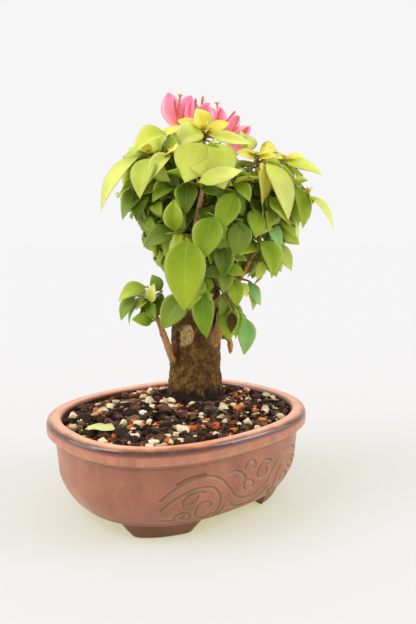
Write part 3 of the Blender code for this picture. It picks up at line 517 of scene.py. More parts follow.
# each part of the bark's relief as (size, seed, how much of the relief)
barkForm = {"ridges": (5.2, 4, 0.55), "lumps": (11.0, 5, 1.5), "plates": (2.3, 6, 0.8), "grit": (0.9, 7, 0.35),
            "lumpsDrawn": 0.7}
# each limb's points from the trunk outwards, and its radii at both ends
boughs = {
    "bough_low_left": (((3, 19, 95), (-6, 12, 106), (-10, 8, 118), (-14, 5, 130)), (2.8, 2.2)),
    "bough_right": (((20, 18, 112), (30, 14, 128), (36, 19, 149), (45, 22, 169), (55, 25, 200), (58, 26, 216)),
                    (4.4, 3.0)),
    "bough_top": (((20, 23, 155), (29, 19, 172), (31, 18, 188), (27, 17, 212), (22, 17, 238)), (5.0, 3.4)),
    "bough_left": (((3, 22, 155), (3, 24, 178), (5, 25, 199), (5, 25, 220)), (3.6, 2.4)),
    "bough_front": (((11, 14, 155), (12, 4, 172), (11, -4, 186)), (3.2, 2.4)),
    "bough_back_left": (((4, 35, 155), (-3, 48, 176), (-10, 58, 196)), (3.8, 2.6)),
    "bough_back_right": (((22, 37, 155), (36, 53, 176), (45, 62, 196)), (3.8, 2.6)),
    "bough_blossom": (((13, 32, 158), (13, 40, 200), (13, 44, 240), (14, 46, 266)), (3.4, 2.0)),
    "dead_stub": (((24, 28, 116), (33, 29, 121), (38.5, 27.5, 119), (40.3, 26, 112), (40.5, 26, 107)), (2.4, 1.7)),
}
# how the boughs are drawn: their grid, the old leaf joints that swell them every 9 to 14 mm, and their feet
boughSkin = {"step": 0.75, "around": 26, "relief": 0.42, "joint": 0.45, "jointWidth": 1.5, "jointsApart": (9, 14),
             "footDeep": 0.55, "footBelow": 9, "footFlare": 0.6, "flareRun": 12, "crook": 1.4, "crookSize": 13.0,
             "crookFrom": 9, "aged": 0.95, "agedWithin": 6, "agedAbove": 8, "stubRound": (4, 0.12)}


def trunkAxis(height):
    # the straight line from the foot to the top, at this height
    t = (height - trunk["foot"].z) / (trunk["top"].z - trunk["foot"].z)
    return trunk["foot"].lerp(trunk["top"], t)


def trunkRadius(height, angle):
    # taper, a flare that dies away upwards with lobes round it, and the knob as a bell on one side
    up = height - trunk["foot"].z
    taper = trunk["radius"] + (trunk["topRadius"] - trunk["radius"]) * up / (trunk["top"].z - trunk["foot"].z)
    flare = np.exp(-np.maximum(up, 0) / trunk["flareHeight"])
    lobes = trunk["lobeDepth"] * np.cos(trunk["lobes"] * angle + trunk["lobeTurn"]) * (trunk["lobesUp"] + flare)
    knobHeight, knobSide, knobSize, halfWidth, halfHeight = trunk["knob"]
    away, rise = around(angle, knobSide) / halfWidth, (height - knobHeight) / halfHeight
    return taper + trunk["flare"] * flare + lobes + knobSize * np.exp(-away ** 2 - rise ** 2)


def barkRelief(points, size, drawnOut=0.42):
    # upright ridges where stretched noise crosses its middle, on slow lumps, with fine grit
    drawn, relief = points * (1, 1, drawnOut), 0
    for part, places in (("ridges", drawn), ("lumps", points * (1, 1, barkForm["lumpsDrawn"])), ("plates", drawn),
                         ("grit", points)):
        spacing, seed, share = barkForm[part]
        noise = cloud(places, spacing, seed) - 0.5
        relief = relief + share * (1 - 2 * np.abs(noise) / 0.5 if part == "ridges" else noise)
    return size * relief


def around(angle, side):
    # how far an angle is from a side, from minus to plus half a turn
    return np.angle(np.exp(1j * (angle - side)))


def roughened(rings, lines, size):
    # rings about their lines, moved outwards by the bark's relief
    return rings + unit(rings - lines[:, :, None]) * barkRelief(rings, size)[..., None]


def makeTrunk():
    # rings about the leaning axis: radius and relief, rounding over at the shoulder to a level cut
    low, high = trunk["foot"].z - trunk["below"], trunk["top"].z
    heights = np.arange(low, high - trunk["shoulder"], trunk["rowStep"])
    turn = np.linspace(0.12, 1, trunk["shoulderRows"]) * math.pi / 2
    cap = np.linspace(*trunk["cap"])
    narrow = np.concatenate([np.ones_like(heights), 1 - trunk["shoulderIn"] * (1 - np.cos(turn)), cap])[:, None]
    heights = np.concatenate([heights, high - trunk["shoulder"] * (1 - np.sin(turn)), np.full(len(cap), high)])
    angle, up = turns(trunk["columns"])[None, :], heights[:, None]
    radius = trunkRadius(up, angle)
    middle = np.array([tuple(trunkAxis(z)) for z in heights])[:, None, :]
    ring = grid(np.cos(angle), np.sin(angle), 0 * up)
    smooth = middle + ring * radius[..., None]
    form = scarForm
    away = np.hypot((up - form["height"]) / form["halfHeight"], around(angle, form["side"]) / form["halfWidth"])
    away = away + (cloud(smooth, form["brokenSize"], 13) - 0.5) * form["broken"]
    scar = 1 - ease((away - form["edge"]) / form["fade"])
    collar = np.exp(-((away - 1.0) / form["collarWidth"]) ** 2)
    knobHeight, knobSide = trunk["knob"][:2]
    wide, tall = trunk["knobFresh"]
    knob = np.exp(-(around(angle, knobSide) / wide) ** 2 - ((up - knobHeight) / tall) ** 2)
    relief = barkRelief(smooth, trunk["relief"], trunk["drawn"]) * (1 - 0.5 * scar)
    relief = relief + trunk["fine"] * (cloud(smooth, trunk["fineSize"], 14) - 0.5) + form["collar"] * collar
    relief = relief - form["sunk"] * scar + form["rough"] * (cloud(smooth, form["roughSize"], 8) - 0.5) * scar
    rings = (middle + ring * ((radius + relief) * narrow)[..., None]) @ toPotRows.T
    marks = {mark: np.append(values * (narrow > 0.9), (0, 0)) for mark, values in (("scar", scar), ("fresh", knob))}
    addPiece("bark_trunk", closeTube(rings), tubeFaces(*rings.shape[:2]), barkLook("furrowed_trunk_bark", trunkBark),
             ("trunk",), marks=marks)


def makeBoughs(look):
    # tubes along crooked paths: radius from foot to end, flared at the foot and swollen at each joint
    rng, skin = np.random.default_rng(31), boughSkin
    for name, (points, radii) in boughs.items():
        # from halfway to the trunk's middle, so its foot lies hidden in the wood
        start = Vector(points[0])
        path = smoothPath([start.lerp(trunkAxis(start.z - skin["footBelow"]), skin["footDeep"]), *points], 12)
        length = sum((b - a).length for a, b in zip(path, path[1:]))
        line = spread(path, int(length / skin["step"]))
        t = np.linspace(0, 1, len(line))
        far = t * length
        joints = np.cumsum(rng.uniform(*skin["jointsApart"], 40))
        radius = radii[0] + (radii[1] - radii[0]) * t
        radius = radius + skin["joint"] * np.exp(-((far[:, None] - joints) / skin["jointWidth"]) ** 2).sum(-1)
        radius = radius + skin["footFlare"] * radii[0] * np.exp(-far / skin["flareRun"])
        if name == "dead_stub":
            run, blunt = skin["stubRound"]
            radius = radius * np.sqrt(ease((length - far) / run + blunt))
        crook = np.stack([cloud(line, skin["crookSize"], 9 + k) for k in range(3)], -1) - 0.5
        line = line + crook * skin["crook"] * ease(far / skin["crookFrom"])[:, None]
        rings = roughened(tubeRings(line[None], radius[None], skin["around"]), line[None], skin["relief"])[0]
        # the right bough's foot is a pale burl on the trunk, and the others fade into its bark
        aside = rings - np.array([tuple(trunkAxis(z)) for z in line[:, 2]])[:, None]
        height = rings[..., 2]
        clear = np.hypot(aside[..., 0], aside[..., 1]) - trunkRadius(height, np.arctan2(aside[..., 1], aside[..., 0]))
        old = skin["aged"] * (name != "bough_right") * (1 - ease(clear / skin["agedWithin"]))
        old = old * (1 - ease((height - trunk["top"].z) / skin["agedAbove"]))
        addPiece("bark_" + name, closeTube(rings @ toPotRows.T), tubeFaces(*rings.shape[:2]), look, (name,),
                 marks={"oldBark": np.append(old, (old[0].mean(), old[-1].mean()))})


# old bark on the trunk: rough olive brown, black and wet with peat at its foot
trunkBark = {"colours": ((0.3, "2b1c0b"), (0.43, "4e3312"), (0.53, "694a20"), (0.62, "8a6833"), (0.74, "b8955e")),
             "patch": 6.0, "ridge": 1.7, "drawn": 0.6, "peatTop": 81.0, "moss": "57501a"}
# younger bark on the boughs: pinkish tan, peeling in places to grey
boughBark = {"colours": ((0.3, "83593a"), (0.45, "b48052"), (0.57, "d0a06c"), (0.68, "e2b888"), (0.8, "b29a72")),
             "patch": 7.0, "ridge": 1.8, "drawn": 0.4, "peatTop": 0.0, "moss": "7d7440"}


def barkLook(name, spec):
    # dry furrowed bark: matt, darker in its furrows, with patches as wide as real plates of bark
    material, shader, add = newMaterial(name, {"Roughness": 0.88, "Specular IOR Level": 0.25})
    spots = add("TexCoord")
    drawn = add("Mapping", spots, Scale=(1, 1, spec["drawn"]))
    patches = add("TexNoise", spots, 1000 / spec["patch"], 3.0)
    ridges = add("TexNoise", drawn, 1000 / spec["ridge"], 4.0, 0.6)
    both = add("Mix", 0.55, patches, ridges)
    base = add("ValToRGB", both, stops=spec["colours"])
    green = add("MapRange", patches, 0.6, 0.75, 0, 0.4)
    mossy = add("Mix", green, base, spec["moss"], data_type="RGBA")
    fresh = add("Attribute", attribute_name="fresh")
    tan = add("Mix", fresh, mossy, "c99a66", data_type="RGBA")
    # a bough's foot is as dark as the trunk it grows from
    old = add("Attribute", attribute_name="oldBark")
    worn = add("ValToRGB", both, stops=trunkBark["colours"])
    aged = add("Mix", old, tan, worn, data_type="RGBA")
    scar = add("Attribute", attribute_name="scar")
    scarTone = add("ValToRGB", ridges, stops=((0.34, "8a6a3c"), (0.5, "c4a66e"), (0.66, "e0cb9a")))
    cut = add("Mix", scar, aged, scarTone, data_type="RGBA")
    if spec["peatTop"]:
        # peat washed up the trunk in streaks 9 mm wide, up to 17 mm above the height given
        up = add("SeparateXYZ", spots).node.outputs["Z"]
        upright = add("Mapping", spots, Scale=(1, 1, 0.2))
        drips = add("TexNoise", upright, 1000 / 9, 4.0, 0.7)
        shift = add("Math", drips, 0.034, up, operation="MULTIPLY_ADD")
        top = spec["peatTop"] * mm + 0.017
        wet = add("MapRange", shift, top + 0.004, top - 0.003, 0, 0.95)
        cut = add("Mix", wet, cut, "171009", data_type="RGBA")
    bump = add("Bump", Strength=0.8, Distance=0.0009, Height=ridges)
    fill(shader, {"Base Color": cut, "Normal": bump})
    return material


makeTrunk()
boughLook = barkLook("peeling_bough_bark", boughBark)
makeBoughs(boughLook)
print("trunk and boughs made")


# Soil: a low mound of peat and bark with loose grit of several kinds lying on it

soil = {"edge": 65.0, "top": 70.7, "flat": 27.0, "inset": 11.4, "floor": 58.0, "slope": 80, "rings": 76,
        "around": 220, "sunk": 0.8, "crumbs": ((6.0, 11, 2.0), (2.2, 12, 1.6))}   # crumbs: size, seed, height
# how grit is strewn: over which half sizes, how few are large, its room at the wall and round the trunk, the size
# of the placed ones, how grains are stretched, jagged and tilted, how high they lie, their tones and sharp edges
strewn = {"over": (90, 74), "fewLarge": 1.6, "wallRoom": 11.2, "trunkRoom": 21.5, "placedSize": 0.85,
          "stretch": ((0.75, 1.15), (0.6, 1.0)), "jag": (0.03, 0.5), "tilt": 0.35, "lift": (0.85, 0.8),
          "tones": (0.22, 0.76), "sharpAbove": 38}
grit = {
    # count, size range, how flat, how angular, seed, colours dark to light, roughness, places of some in the photo
    "bark_bits": (1350, (2.4, 7.6), 0.5, 0.7, 41, ("0b0705", "1f140d", "523a2a", "967660"), 0.9, ()),
    "bark_chips": (210, (6.0, 12.0), 0.42, 0.7, 42, ("150d08", "38241a", "6b4a37", "a5836a"), 0.9, ()),
    "fine_bits": (1500, (1.0, 2.4), 0.6, 0.8, 43, ("0e0906", "22160f", "453021", "7a5d44"), 0.9, ()),
    "perlite": (190, (3.0, 8.2), 0.75, 0.7, 44, ("b09468", "dec89c", "f0dfbe", "fbf0dc"), 0.95,
                ((-53.7, -19.8), (82.8, 13.6), (-60.0, -30.0), (20.0, 60.0), (8.0, -40.0))),
    "clay_chips": (180, (2.6, 7.4), 0.65, 0.75, 45, ("9c4820", "cc6630", "e2854e", "efaf86"), 0.85,
                   ((-30.0, -38.0), (-22.0, -44.0), (-48.0, -8.0))),
    "lava_bits": (150, (2.6, 6.4), 0.75, 0.8, 46, ("351a14", "6a3527", "8a4c3a", "a06a58"), 0.95, ()),
    "green_prills": (13, (3.4, 3.9), 0.97, 1.0, 47, ("0f5a3c", "1b7a55", "2b8f66", "3a9c72"), 0.3,
                     ((6.1, -6.6), (37.1, -57.5), (-29.9, 41.9))),
    "moss_bits": (22, (2.0, 4.2), 0.8, 0.9, 48, ("3f5c1a", "6c8c2a", "97b43e", "c4d65a"), 0.9,
                  ((36.0, -13.3), (28.8, 11.9), (-81.7, 6.8))),
}
# a pale leaf that has fallen on the soil, in the tree's frame: base, tip, width, arch
fallenLeaf = ((-62, -48, 70.5), (-42, -54, 70), 23, 0.3)
trunkSpot = (toPotRows @ np.array(trunk["foot"]))[:2]


def ovalMeasure(x, y, inset):
    # 0 in the middle of the pot and 1 at its inner wall
    power = pot["squareness"]
    return ((np.abs(x) / (pot["halfLength"] - inset)) ** power
            + (np.abs(y) / (pot["halfWidth"] - inset)) ** power) ** (1 / power)


def moundHeight(x, y):
    # rises from the wall to the flat under the trunk, by the share of the way from one to the other
    fromWall = np.maximum(1 - ovalMeasure(x, y, soil["inset"]), 0) * soil["slope"]
    fromFlat = np.maximum(np.hypot(x - trunkSpot[0], y - trunkSpot[1]) - soil["flat"], 0)
    return soil["edge"] + (soil["top"] - soil["edge"]) * ease(fromWall / (fromWall + fromFlat + 1e-6))


def earthLook(name, colours, roughness, size, ownTone=0.0):
    # tones from slow noise, mixed with each grain's own where it has one, and pits from a finer noise
    coat = {"Coat Weight": 0.5, "Coat Roughness": 0.15} if roughness < 0.5 else {"Specular IOR Level": 0.2}
    material, shader, add = newMaterial(name, {"Roughness": roughness, **coat})
    spots = add("TexCoord")
    tone = add("TexNoise", spots, 1000 / size, 2.0, 0.7)
    grain = add("Attribute", attribute_name="grainTone")
    own = add("Mix", ownTone, tone, grain)
    pits = add("TexNoise", spots, 1000 / 0.8, 2.0)
    both = add("Mix", 0.3, own, pits)
    colour = add("ValToRGB", both, stops=list(zip((0.32, 0.46, 0.58, 0.7), colours)))
    bump = add("Bump", Strength=0.6, Distance=0.0005, Height=pits)
    fill(shader, {"Base Color": colour, "Normal": bump})
    return material


def makeSoilBed():
    # rings of the pot's oval from its wall to the middle, with the mound's height and crumbs of 2 to 6 mm
    share = np.concatenate([[1.0, 1.0], np.linspace(0.995, 0.004, soil["rings"])])[:, None, None]
    rings = ovalRing(soil["inset"], soil["inset"], 0.0, turns(soil["around"])[None, :]) * share
    crumbs = sum((cloud(rings, size, seed) - 0.5) * tall for size, seed, tall in soil["crumbs"])
    rings[..., 2] = moundHeight(rings[..., 0], rings[..., 1]) + crumbs - soil["sunk"]
    rings[0, :, 2] = soil["floor"]
    look = earthLook("damp_peat", ("0a0705", "160f0a", "291c12", "463222"), 0.95, 5.0)
    addPiece("soil_bed", closeTube(rings), tubeFaces(*rings.shape[:2]), look, ("soil",))


def makeGrit(name, count, sizes, flat, angular, seed, colours, roughness, places):
    # balls of a few faces with their sides squared, points moved at random, stretched, turned and laid on the mound
    rng = np.random.default_rng(seed)
    least, most = sizes
    # more places than needed, less those outside the wall or under the trunk
    x, y = [rng.uniform(-half, half, count * 3) for half in strewn["over"]]
    size = rng.uniform(0, 1, count * 3) ** strewn["fewLarge"] * (most - least) + least
    kept = ((ovalMeasure(x, y, strewn["wallRoom"] + size / 2) < 1)
            & (np.hypot(x - trunkSpot[0], y - trunkSpot[1]) > strewn["trunkRoom"]))
    x, y, size = x[kept][:count], y[kept][:count], size[kept][:count]
    count = len(x)
    for i, place in enumerate(places):
        x[i], y[i], size[i] = *place, least + (most - least) * strewn["placedSize"]
    rows, columns = (3, 5) if most < 2.5 else (4, 7)
    down, turn = np.linspace(0, math.pi, rows + 2)[1:-1, None], turns(columns)
    ball = grid(np.sin(down)[::-1] * np.cos(turn), np.sin(down)[::-1] * np.sin(turn), -np.cos(down))
    shapes = closeTube(np.sign(ball) * np.abs(ball) ** angular)
    shapes[-2:] = ((0, 0, -1), (0, 0, 1))
    long, wide = strewn["stretch"]
    stretch = np.stack([rng.uniform(*long, count), rng.uniform(*wide, count), flat * rng.uniform(*long, count)], -1)
    jag = 1 + (rng.random((count, len(shapes), 1)) - 0.5) * strewn["jag"][int(roughness > 0.5)]
    shapes = shapes[None] * jag * stretch[:, None] * (size / 2)[:, None, None]
    yaw, tilt = rng.uniform(0, tau, count), rng.normal(0, strewn["tilt"], count)
    c, s, ct, st = np.cos(yaw), np.sin(yaw), np.cos(tilt), np.sin(tilt)
    spin = np.stack([grid(c, -s * ct, s * st), grid(s, c * ct, -c * st), grid(0 * c, st, ct)], 1)
    shapes = np.einsum("nij,nkj->nki", spin, shapes)
    share, spare = [rng.uniform(0, highest, count) for highest in strewn["lift"]]
    lift = size * stretch[:, 2] / 2 * share + spare
    shapes += grid(x, y, moundHeight(x, y) + lift)[:, None]
    tones = np.repeat(rng.uniform(*strewn["tones"], count), shapes.shape[1])
    thing = addPiece(name, shapes, manyFaces(shapes, rows, columns),
                     earthLook("grit_" + name, colours, roughness, max(most, 3), 0.6), ("soil",),
                     marks={"grainTone": tones})
    if roughness > 0.5:
        thing.data.set_sharp_from_angle(angle=math.radians(strewn["sharpAbove"]))


makeSoilBed()
for gritName, spec in grit.items():
    makeGrit(gritName, *spec)
print("soil made")


# Crown, in the tree's frame: the part's own rule and seeds for twigs and leaves, then finer ones of the same kind

crown = {
    "gap": 0.3, "middle": Vector((19.0, 25.0, 228.0)), "reach": Vector((62.0, 46.0, 50.0)), "front": 0.72,
    "tips": 64, "margin": 1.0, "leafLength": (30.0, 42.0), "leafShape": 0.60, "widest": 0.42, "thickness": 0.024,
    "sink": 0.3, "twigOver": 1.2, "internode": 8.0, "twigRadii": (1.5, 0.8), "stemRun": 6.2, "clear": 0.9,
    "room": 0.45, "nearBy": 9, "lowest": 1.86, "places": 12, "midrib": (0.25, 0.7), "leafBall": 0.62,
    "border": 14.0, "shootLeaves": (3, 6), "attempts": 9, "fold": 0.12, "tipLeaf": 0.72, "tipSpacing": 15.0,
    "droop": (0.25, 0.25), "droopTop": 290.0, "droopFall": 110.0, "droopGain": 0.9, "facing": (0.9, 0.8),
    "showingFront": 0.9, "bestSide": Vector((22, -452, 202)), "stemTip": 1.4,
    "bend": (0.55, 0.10, 0.6, 0.4),    # a shoot's bend: how far along, its rise, and the places on either side of it
    "joints": (0.96, 0.82, 0),         # the first leaf's place along a shoot, how far back the last is, and the slack
    "aim": (0.75, 0.5, 0.35),          # a leaf's direction: how much of it goes sideways, along the twig, outwards
    "retry": (1.3, 0.05), "leafArch": 0.09,   # each next attempt's turn and shortening
}
# The crown's outline as it is seen from there, against the plane y = 0: height, left edge, right edge
outline = np.array(((98, -18, 48), (112, -20, 51), (125, -26, 55), (134, -42, 55), (148, -48, 64), (155, -46, 66),
                    (163, -20, 70), (172, -12, 76), (182, -15, 87), (192, -25, 91), (206, -28, 95), (213, -33, 98),
                    (221, -44, 101), (231, -48, 102), (250, -52, 101), (259, -44, 97), (269, -38, 76),
                    (281, -26, 56), (286, -8, 48), (287, 20, 20), (320, 20, 20)), dtype=float)
# Where sky shows among the leaves, against the same plane: across, height, radius
skies = np.array(((-23, 126, 10), (37, 282, 5), (26, 275, 4), (52, 257, 6), (56, 137, 6), (71, 163, 7),
                  (-11, 111, 10), (62, 264, 5), (41, 269, 7)), dtype=float)
# Leaf colours at the stalk and at the tip, from the oldest and most shaded to the youngest
tints = {"dark": ("43560c", "586d16"), "deep": ("5f7420", "7a8d32"), "mid": ("708b18", "92aa2b"),
         "grass": ("60841a", "7ea22a"), "olive": ("87972c", "a8b548"), "blue": ("6a9b50", "8ab468"),
         "bright": ("7a9012", "a0b232"), "lime": ("b2be42", "cfd95e"), "pale": ("c4cf52", "e0e67c"),
         "yellow": ("f0dc46", "f8ec6c"), "brown": ("33240a", "4c3a10")}
# Each mass: its ball, its bough, its seed and stem. "leaves" are the ones that show most: base, tip, width, arch,
# colour and, where it isn't the usual one, the fold. "more" are the same for leaves that only the looks have.
masses = {
    "crown_top": {
        "ball": ((20, 10, 288), 34), "bough": "bough_top", "seed": 11,
        "stem": ((20, 15, 256), (19, 12, 274)),
        "leaves": (
            ((18, 4, 279), (-3, -7, 267), 19, 3, "pale"), ((19, 6, 281), (13, 2, 296), 15, 2, "yellow"),
            ((14, 8, 281), (-1, 8, 289), 10, 1, "yellow"), ((22, 5, 280), (38, 5, 286), 10, 1, "yellow"),
            ((22, 2, 277), (55, -3, 270), 10, 1.5, "pale")),
        "more": (
            ((17, 12, 281), (6, 20, 288), 11, 1, "pale"), ((23, 12, 281), (33, 22, 284), 12, 1, "lime"))},
    "crown_left": {
        "ball": ((-34, 12, 246), 42), "bough": "bough_left", "seed": 12,
        "stem": ((3, 24, 234), (-6, 18, 250), (-16, 12, 262)),
        "leaves": (
            ((-28, 8, 263), (-59, -4, 222), 17, 8, "pale", 0.1), ((-17, -12, 259), (-27, -20, 229), 19, 5, "lime"),
            ((-4, -13, 261), (-20, -22, 240), 13, 4, "pale"), ((-7, 5, 277), (-34, -5, 262), 18, 6, "lime"),
            ((-25, 12, 238), (-44, 8, 215), 20, 4, "deep"), ((-21, 8, 240), (-33, 2, 214), 20, 4, "dark"),
            ((-10, 4, 242), (-32, 0, 232), 20, 3, "dark")),
        "more": (
            ((-21, 10, 262), (-37, 8, 251), 12, 2, "olive"), ((-22, 8, 264), (-30, -4, 270), 9, 1, "yellow"),
            ((-2, 0, 240), (-19, -9, 228), 16, 3, "mid"))},
    "crown_right": {
        "ball": ((82, 12, 244), 42), "bough": "bough_right", "seed": 13,
        "stem": ((60, 25, 230), (60, 22, 246), (60, 19, 259)),
        "leaves": (
            ((64, -2, 257), (81, -12, 214), 21, 6, "pale"), ((87, 2, 240), (93, -2, 208), 17, 3, "bright"),
            ((97, 5, 233), (118, 4, 209), 9, 4, "pale"), ((80, 18, 259), (110, 14, 250), 15, 4, "lime"),
            ((82, 18, 260), (97, 22, 264), 9, 1, "yellow"), ((60, 16, 262), (76, 10, 259), 12, 1, "yellow"),
            ((68, -8, 231), (79, -13, 214), 18, 3, "bright")),
        "more": (
            ((59, 17, 262), (43, 12, 266), 11, 1, "yellow"), ((61, 17, 263), (72, 22, 269), 9, 1, "yellow"),
            ((55, -12, 223), (57, -19, 201), 15, 2, "mid"))},
    "crown_front": {
        "ball": ((14, -34, 200), 54), "bough": "bough_front", "seed": 14,
        "stem": ((10, -12, 197), (13, -18, 212), (18, -22, 236), (18, -24, 256)),
        "leaves": (
            ((20, -25, 266), (33, -41, 235), 34, 7, "lime", -0.15),
            ((18, -28, 267), (6, -39, 239), 30, 5, "lime", -0.1),
            ((7, -30, 203), (5, -36, 150), 29, 6, "bright", 0.18), ((26, -28, 217), (17, -33, 185), 21, 4, "mid"),
            ((41, -22, 234), (28, -28, 205), 17, 5, "mid"), ((46, -18, 214), (41, -23, 188), 18, 3, "deep"),
            ((-1, -24, 205), (-2, -22, 229), 15, 2, "bright"), ((18, -20, 167), (21, -23, 128), 16, 4, "grass"),
            ((-2, -6, 206), (-26, -12, 195), 17, 4, "deep")),
        "more": (
            ((15, -45, 238), (45, -44, 247), 13, 2, "pale", 0.05), ((7, -12, 160), (-13, -16, 134), 21, 3, "deep"),
            ((38, -8, 172), (44, -11, 150), 14, 3, "mid"), ((8, -20, 241), (7, -27, 218), 16, 3, "dark"),
            ((16, -24, 239), (30, -26, 231), 11, 2, "dark"), ((15, -22, 222), (28, -26, 208), 12, 2, "dark"),
            ((42, -18, 239), (52, -22, 227), 11, 2, "mid"), ((34, -14, 179), (16, -20, 175), 10, 2, "deep"),
            ((34, -14, 178), (33, -20, 161), 11, 2, "deep"), ((34, -14, 178), (49, -18, 174), 10, 2, "mid"),
            ((46, -6, 168), (51, -8, 157), 8, 1, "lime"), ((40, -14, 147), (39, -17, 131), 8, 1, "brown"),
            ((30, -16, 196), (33, -22, 172), 15, 3, "dark"))},
    "crown_right_low": {
        "ball": ((60, -2, 172), 36), "bough": None, "seed": 15,
        "stem": ((22, 15, 144), (33, 6, 156), (46, 1, 170), (57, 0, 190)), "radius": 2.8,
        "leaves": (
            ((60, -8, 200), (70, -13, 172), 18, 4, "mid"), ((72, 5, 197), (86, 4, 176), 16, 3, "olive"),
            ((50, -2, 142), (50, -5, 112), 15, 3, "blue"), ((40, -8, 151), (43, -11, 127), 13, 3, "grass"),
            ((54, 0, 168), (62, -2, 150), 10, 2, "blue")),
        "more": (
            ((66, -2, 213), (76, -5, 192), 12, 2, "blue"), ((63, -4, 184), (59, -7, 170), 9, 1, "lime"))},
    "low_left_spray": {
        "ball": ((-30, 2, 148), 26), "bough": "bough_low_left", "seed": 16,
        "stem": ((-19, 2, 145), (-21, 2, 154)),
        "leaves": (
            ((-24, 0, 164), (-47, -2, 154), 13, 4, "olive"), ((-33, 2, 157), (-45, 0, 138), 13, 3, "deep"),
            ((-20, 0, 138), (-36, -4, 140), 12, 2, "mid"), ((-21, -2, 152), (-19, -4, 167), 11, 1, "pale")),
        "more": (
            ((-14, 6, 160), (-22, 10, 173), 11, 1, "deep"), ((-25, 2, 154), (-33, -6, 147), 8, 1, "lime"))},
    "crown_back_left": {
        "ball": ((-18, 74, 228), 46), "bough": "bough_back_left", "seed": 17,
        "stem": ((-13, 62, 206), (-17, 68, 222), (-18, 70, 240)), "leaves": (), "more": ()},
    "crown_back_right": {
        "ball": ((58, 76, 228), 46), "bough": "bough_back_right", "seed": 18,
        "stem": ((49, 65, 206), (54, 69, 222), (56, 70, 240)), "leaves": (), "more": ()},
    "blossom": {
        "ball": ((16, 54, 300), 34), "bough": "bough_blossom", "seed": 19,
        "stem": ((14, 47, 278), (15, 47, 286)), "leaves": (), "more": ()},
}
# A flower head stands at the end of a shoot: its place, its bracts' tips and widths, its flowers' tips
flowerHeads = (((-1, 42, 289), (((-10, 40, 315), 20), ((7, 41, 314), 20), ((-2, 53, 309), 18)),
                ((0, 41, 315), (-6, 44, 314), (4, 46, 310))),
               ((16, 42, 288), (((8, 40, 308), 19), ((21, 37, 307), 18), ((15, 53, 305), 18)),
                ((12, 42, 312), (18, 43, 314), (22, 39, 308))),
               ((30, 43, 286), (((24, 41, 304), 15), ((33, 40, 304), 15), ((33, 54, 301), 16)),
                ((29, 42, 309), (32, 41, 305), (44, 42, 302))),
               ((38, 41, 281), (((46, 43, 298), 12), ((56, 39, 288), 15), ((53, 37, 271), 18)),
                ((47, 42, 298), (56, 40, 290), (54, 39, 286))),
               ((8, 64, 287), (((-2, 74, 303), 16), ((15, 77, 302), 16), ((7, 59, 308), 15)),
                ((3, 70, 309), (9, 72, 310), (12, 66, 308))),
               ((30, 66, 283), (((36, 77, 298), 16), ((41, 64, 298), 15), ((25, 72, 302), 15)),
                ((32, 74, 305), (36, 70, 304), (29, 68, 306))))
bloom = {
    "bractArch": -2.0, "showing": 1.6, "tubeRadius": 0.9, "headRadius": 2.4, "headOver": 1.5,
    "opened": (0, 5, 6, 13, 15), "flowerSides": 20, "points": 5, "bends": (0.3, 1.6), "glow": 0.16,
    "bractDraws": ((0, 0.05, 0.35), (1, 0.04, 0.1), (3, -0.5, 0.1)),   # fold, wave and tip curl, from least to most
    # both kinds of flower as (share of the length, width against the tube's, how starry)
    "open": ((0, 0.5, 0), (0.06, 1.0, 0), (0.2, 1.2, 0), (0.4, 0.9, 0), (0.6, 0.75, 0), (0.8, 0.9, 0),
             (0.9, 1.0, 0.05), (0.94, 1.3, 0.2), (0.965, 1.9, 0.3), (0.98, 2.3, 0.38), (0.97, 0.9, 0.1),
             (0.93, 0.4, 0)),
    "closed": ((0, 0.5, 0), (0.05, 1.0, 0), (0.18, 1.25, 0), (0.4, 0.95, 0), (0.6, 0.85, 0), (0.75, 1.0, 0.05),
               (0.86, 1.2, 0.12), (0.94, 1.0, 0.16), (0.98, 0.6, 0.1), (1.0, 0.15, 0)),
    "bractColours": ((0, "ff948c"), (0.35, "ff8a94"), (0.75, "ff83ac"), (1, "f8559c")),
    "openColours": ((0, "e8806a"), (0.6, "ef8a74"), (0.93, "f6b49a"), (1, "f7e3c0")),
    "closedColours": ((0, "e8806a"), (0.6, "ea7c6c"), (0.88, "d4655a"), (1, "b84a48")),
}
leafMasses = [mass for mass in masses if mass != "blossom"]
shares = [place / crown["places"] for place in range(crown["places"] + 1)]   # even places along a twig
# a leaf's faces while it grows, between the six corners that leafCorners gives
leafFaces = ((0, 4, 2), (0, 3, 4), (1, 2, 4), (1, 4, 3), (0, 2, 5), (0, 5, 3), (1, 5, 2), (1, 3, 5))


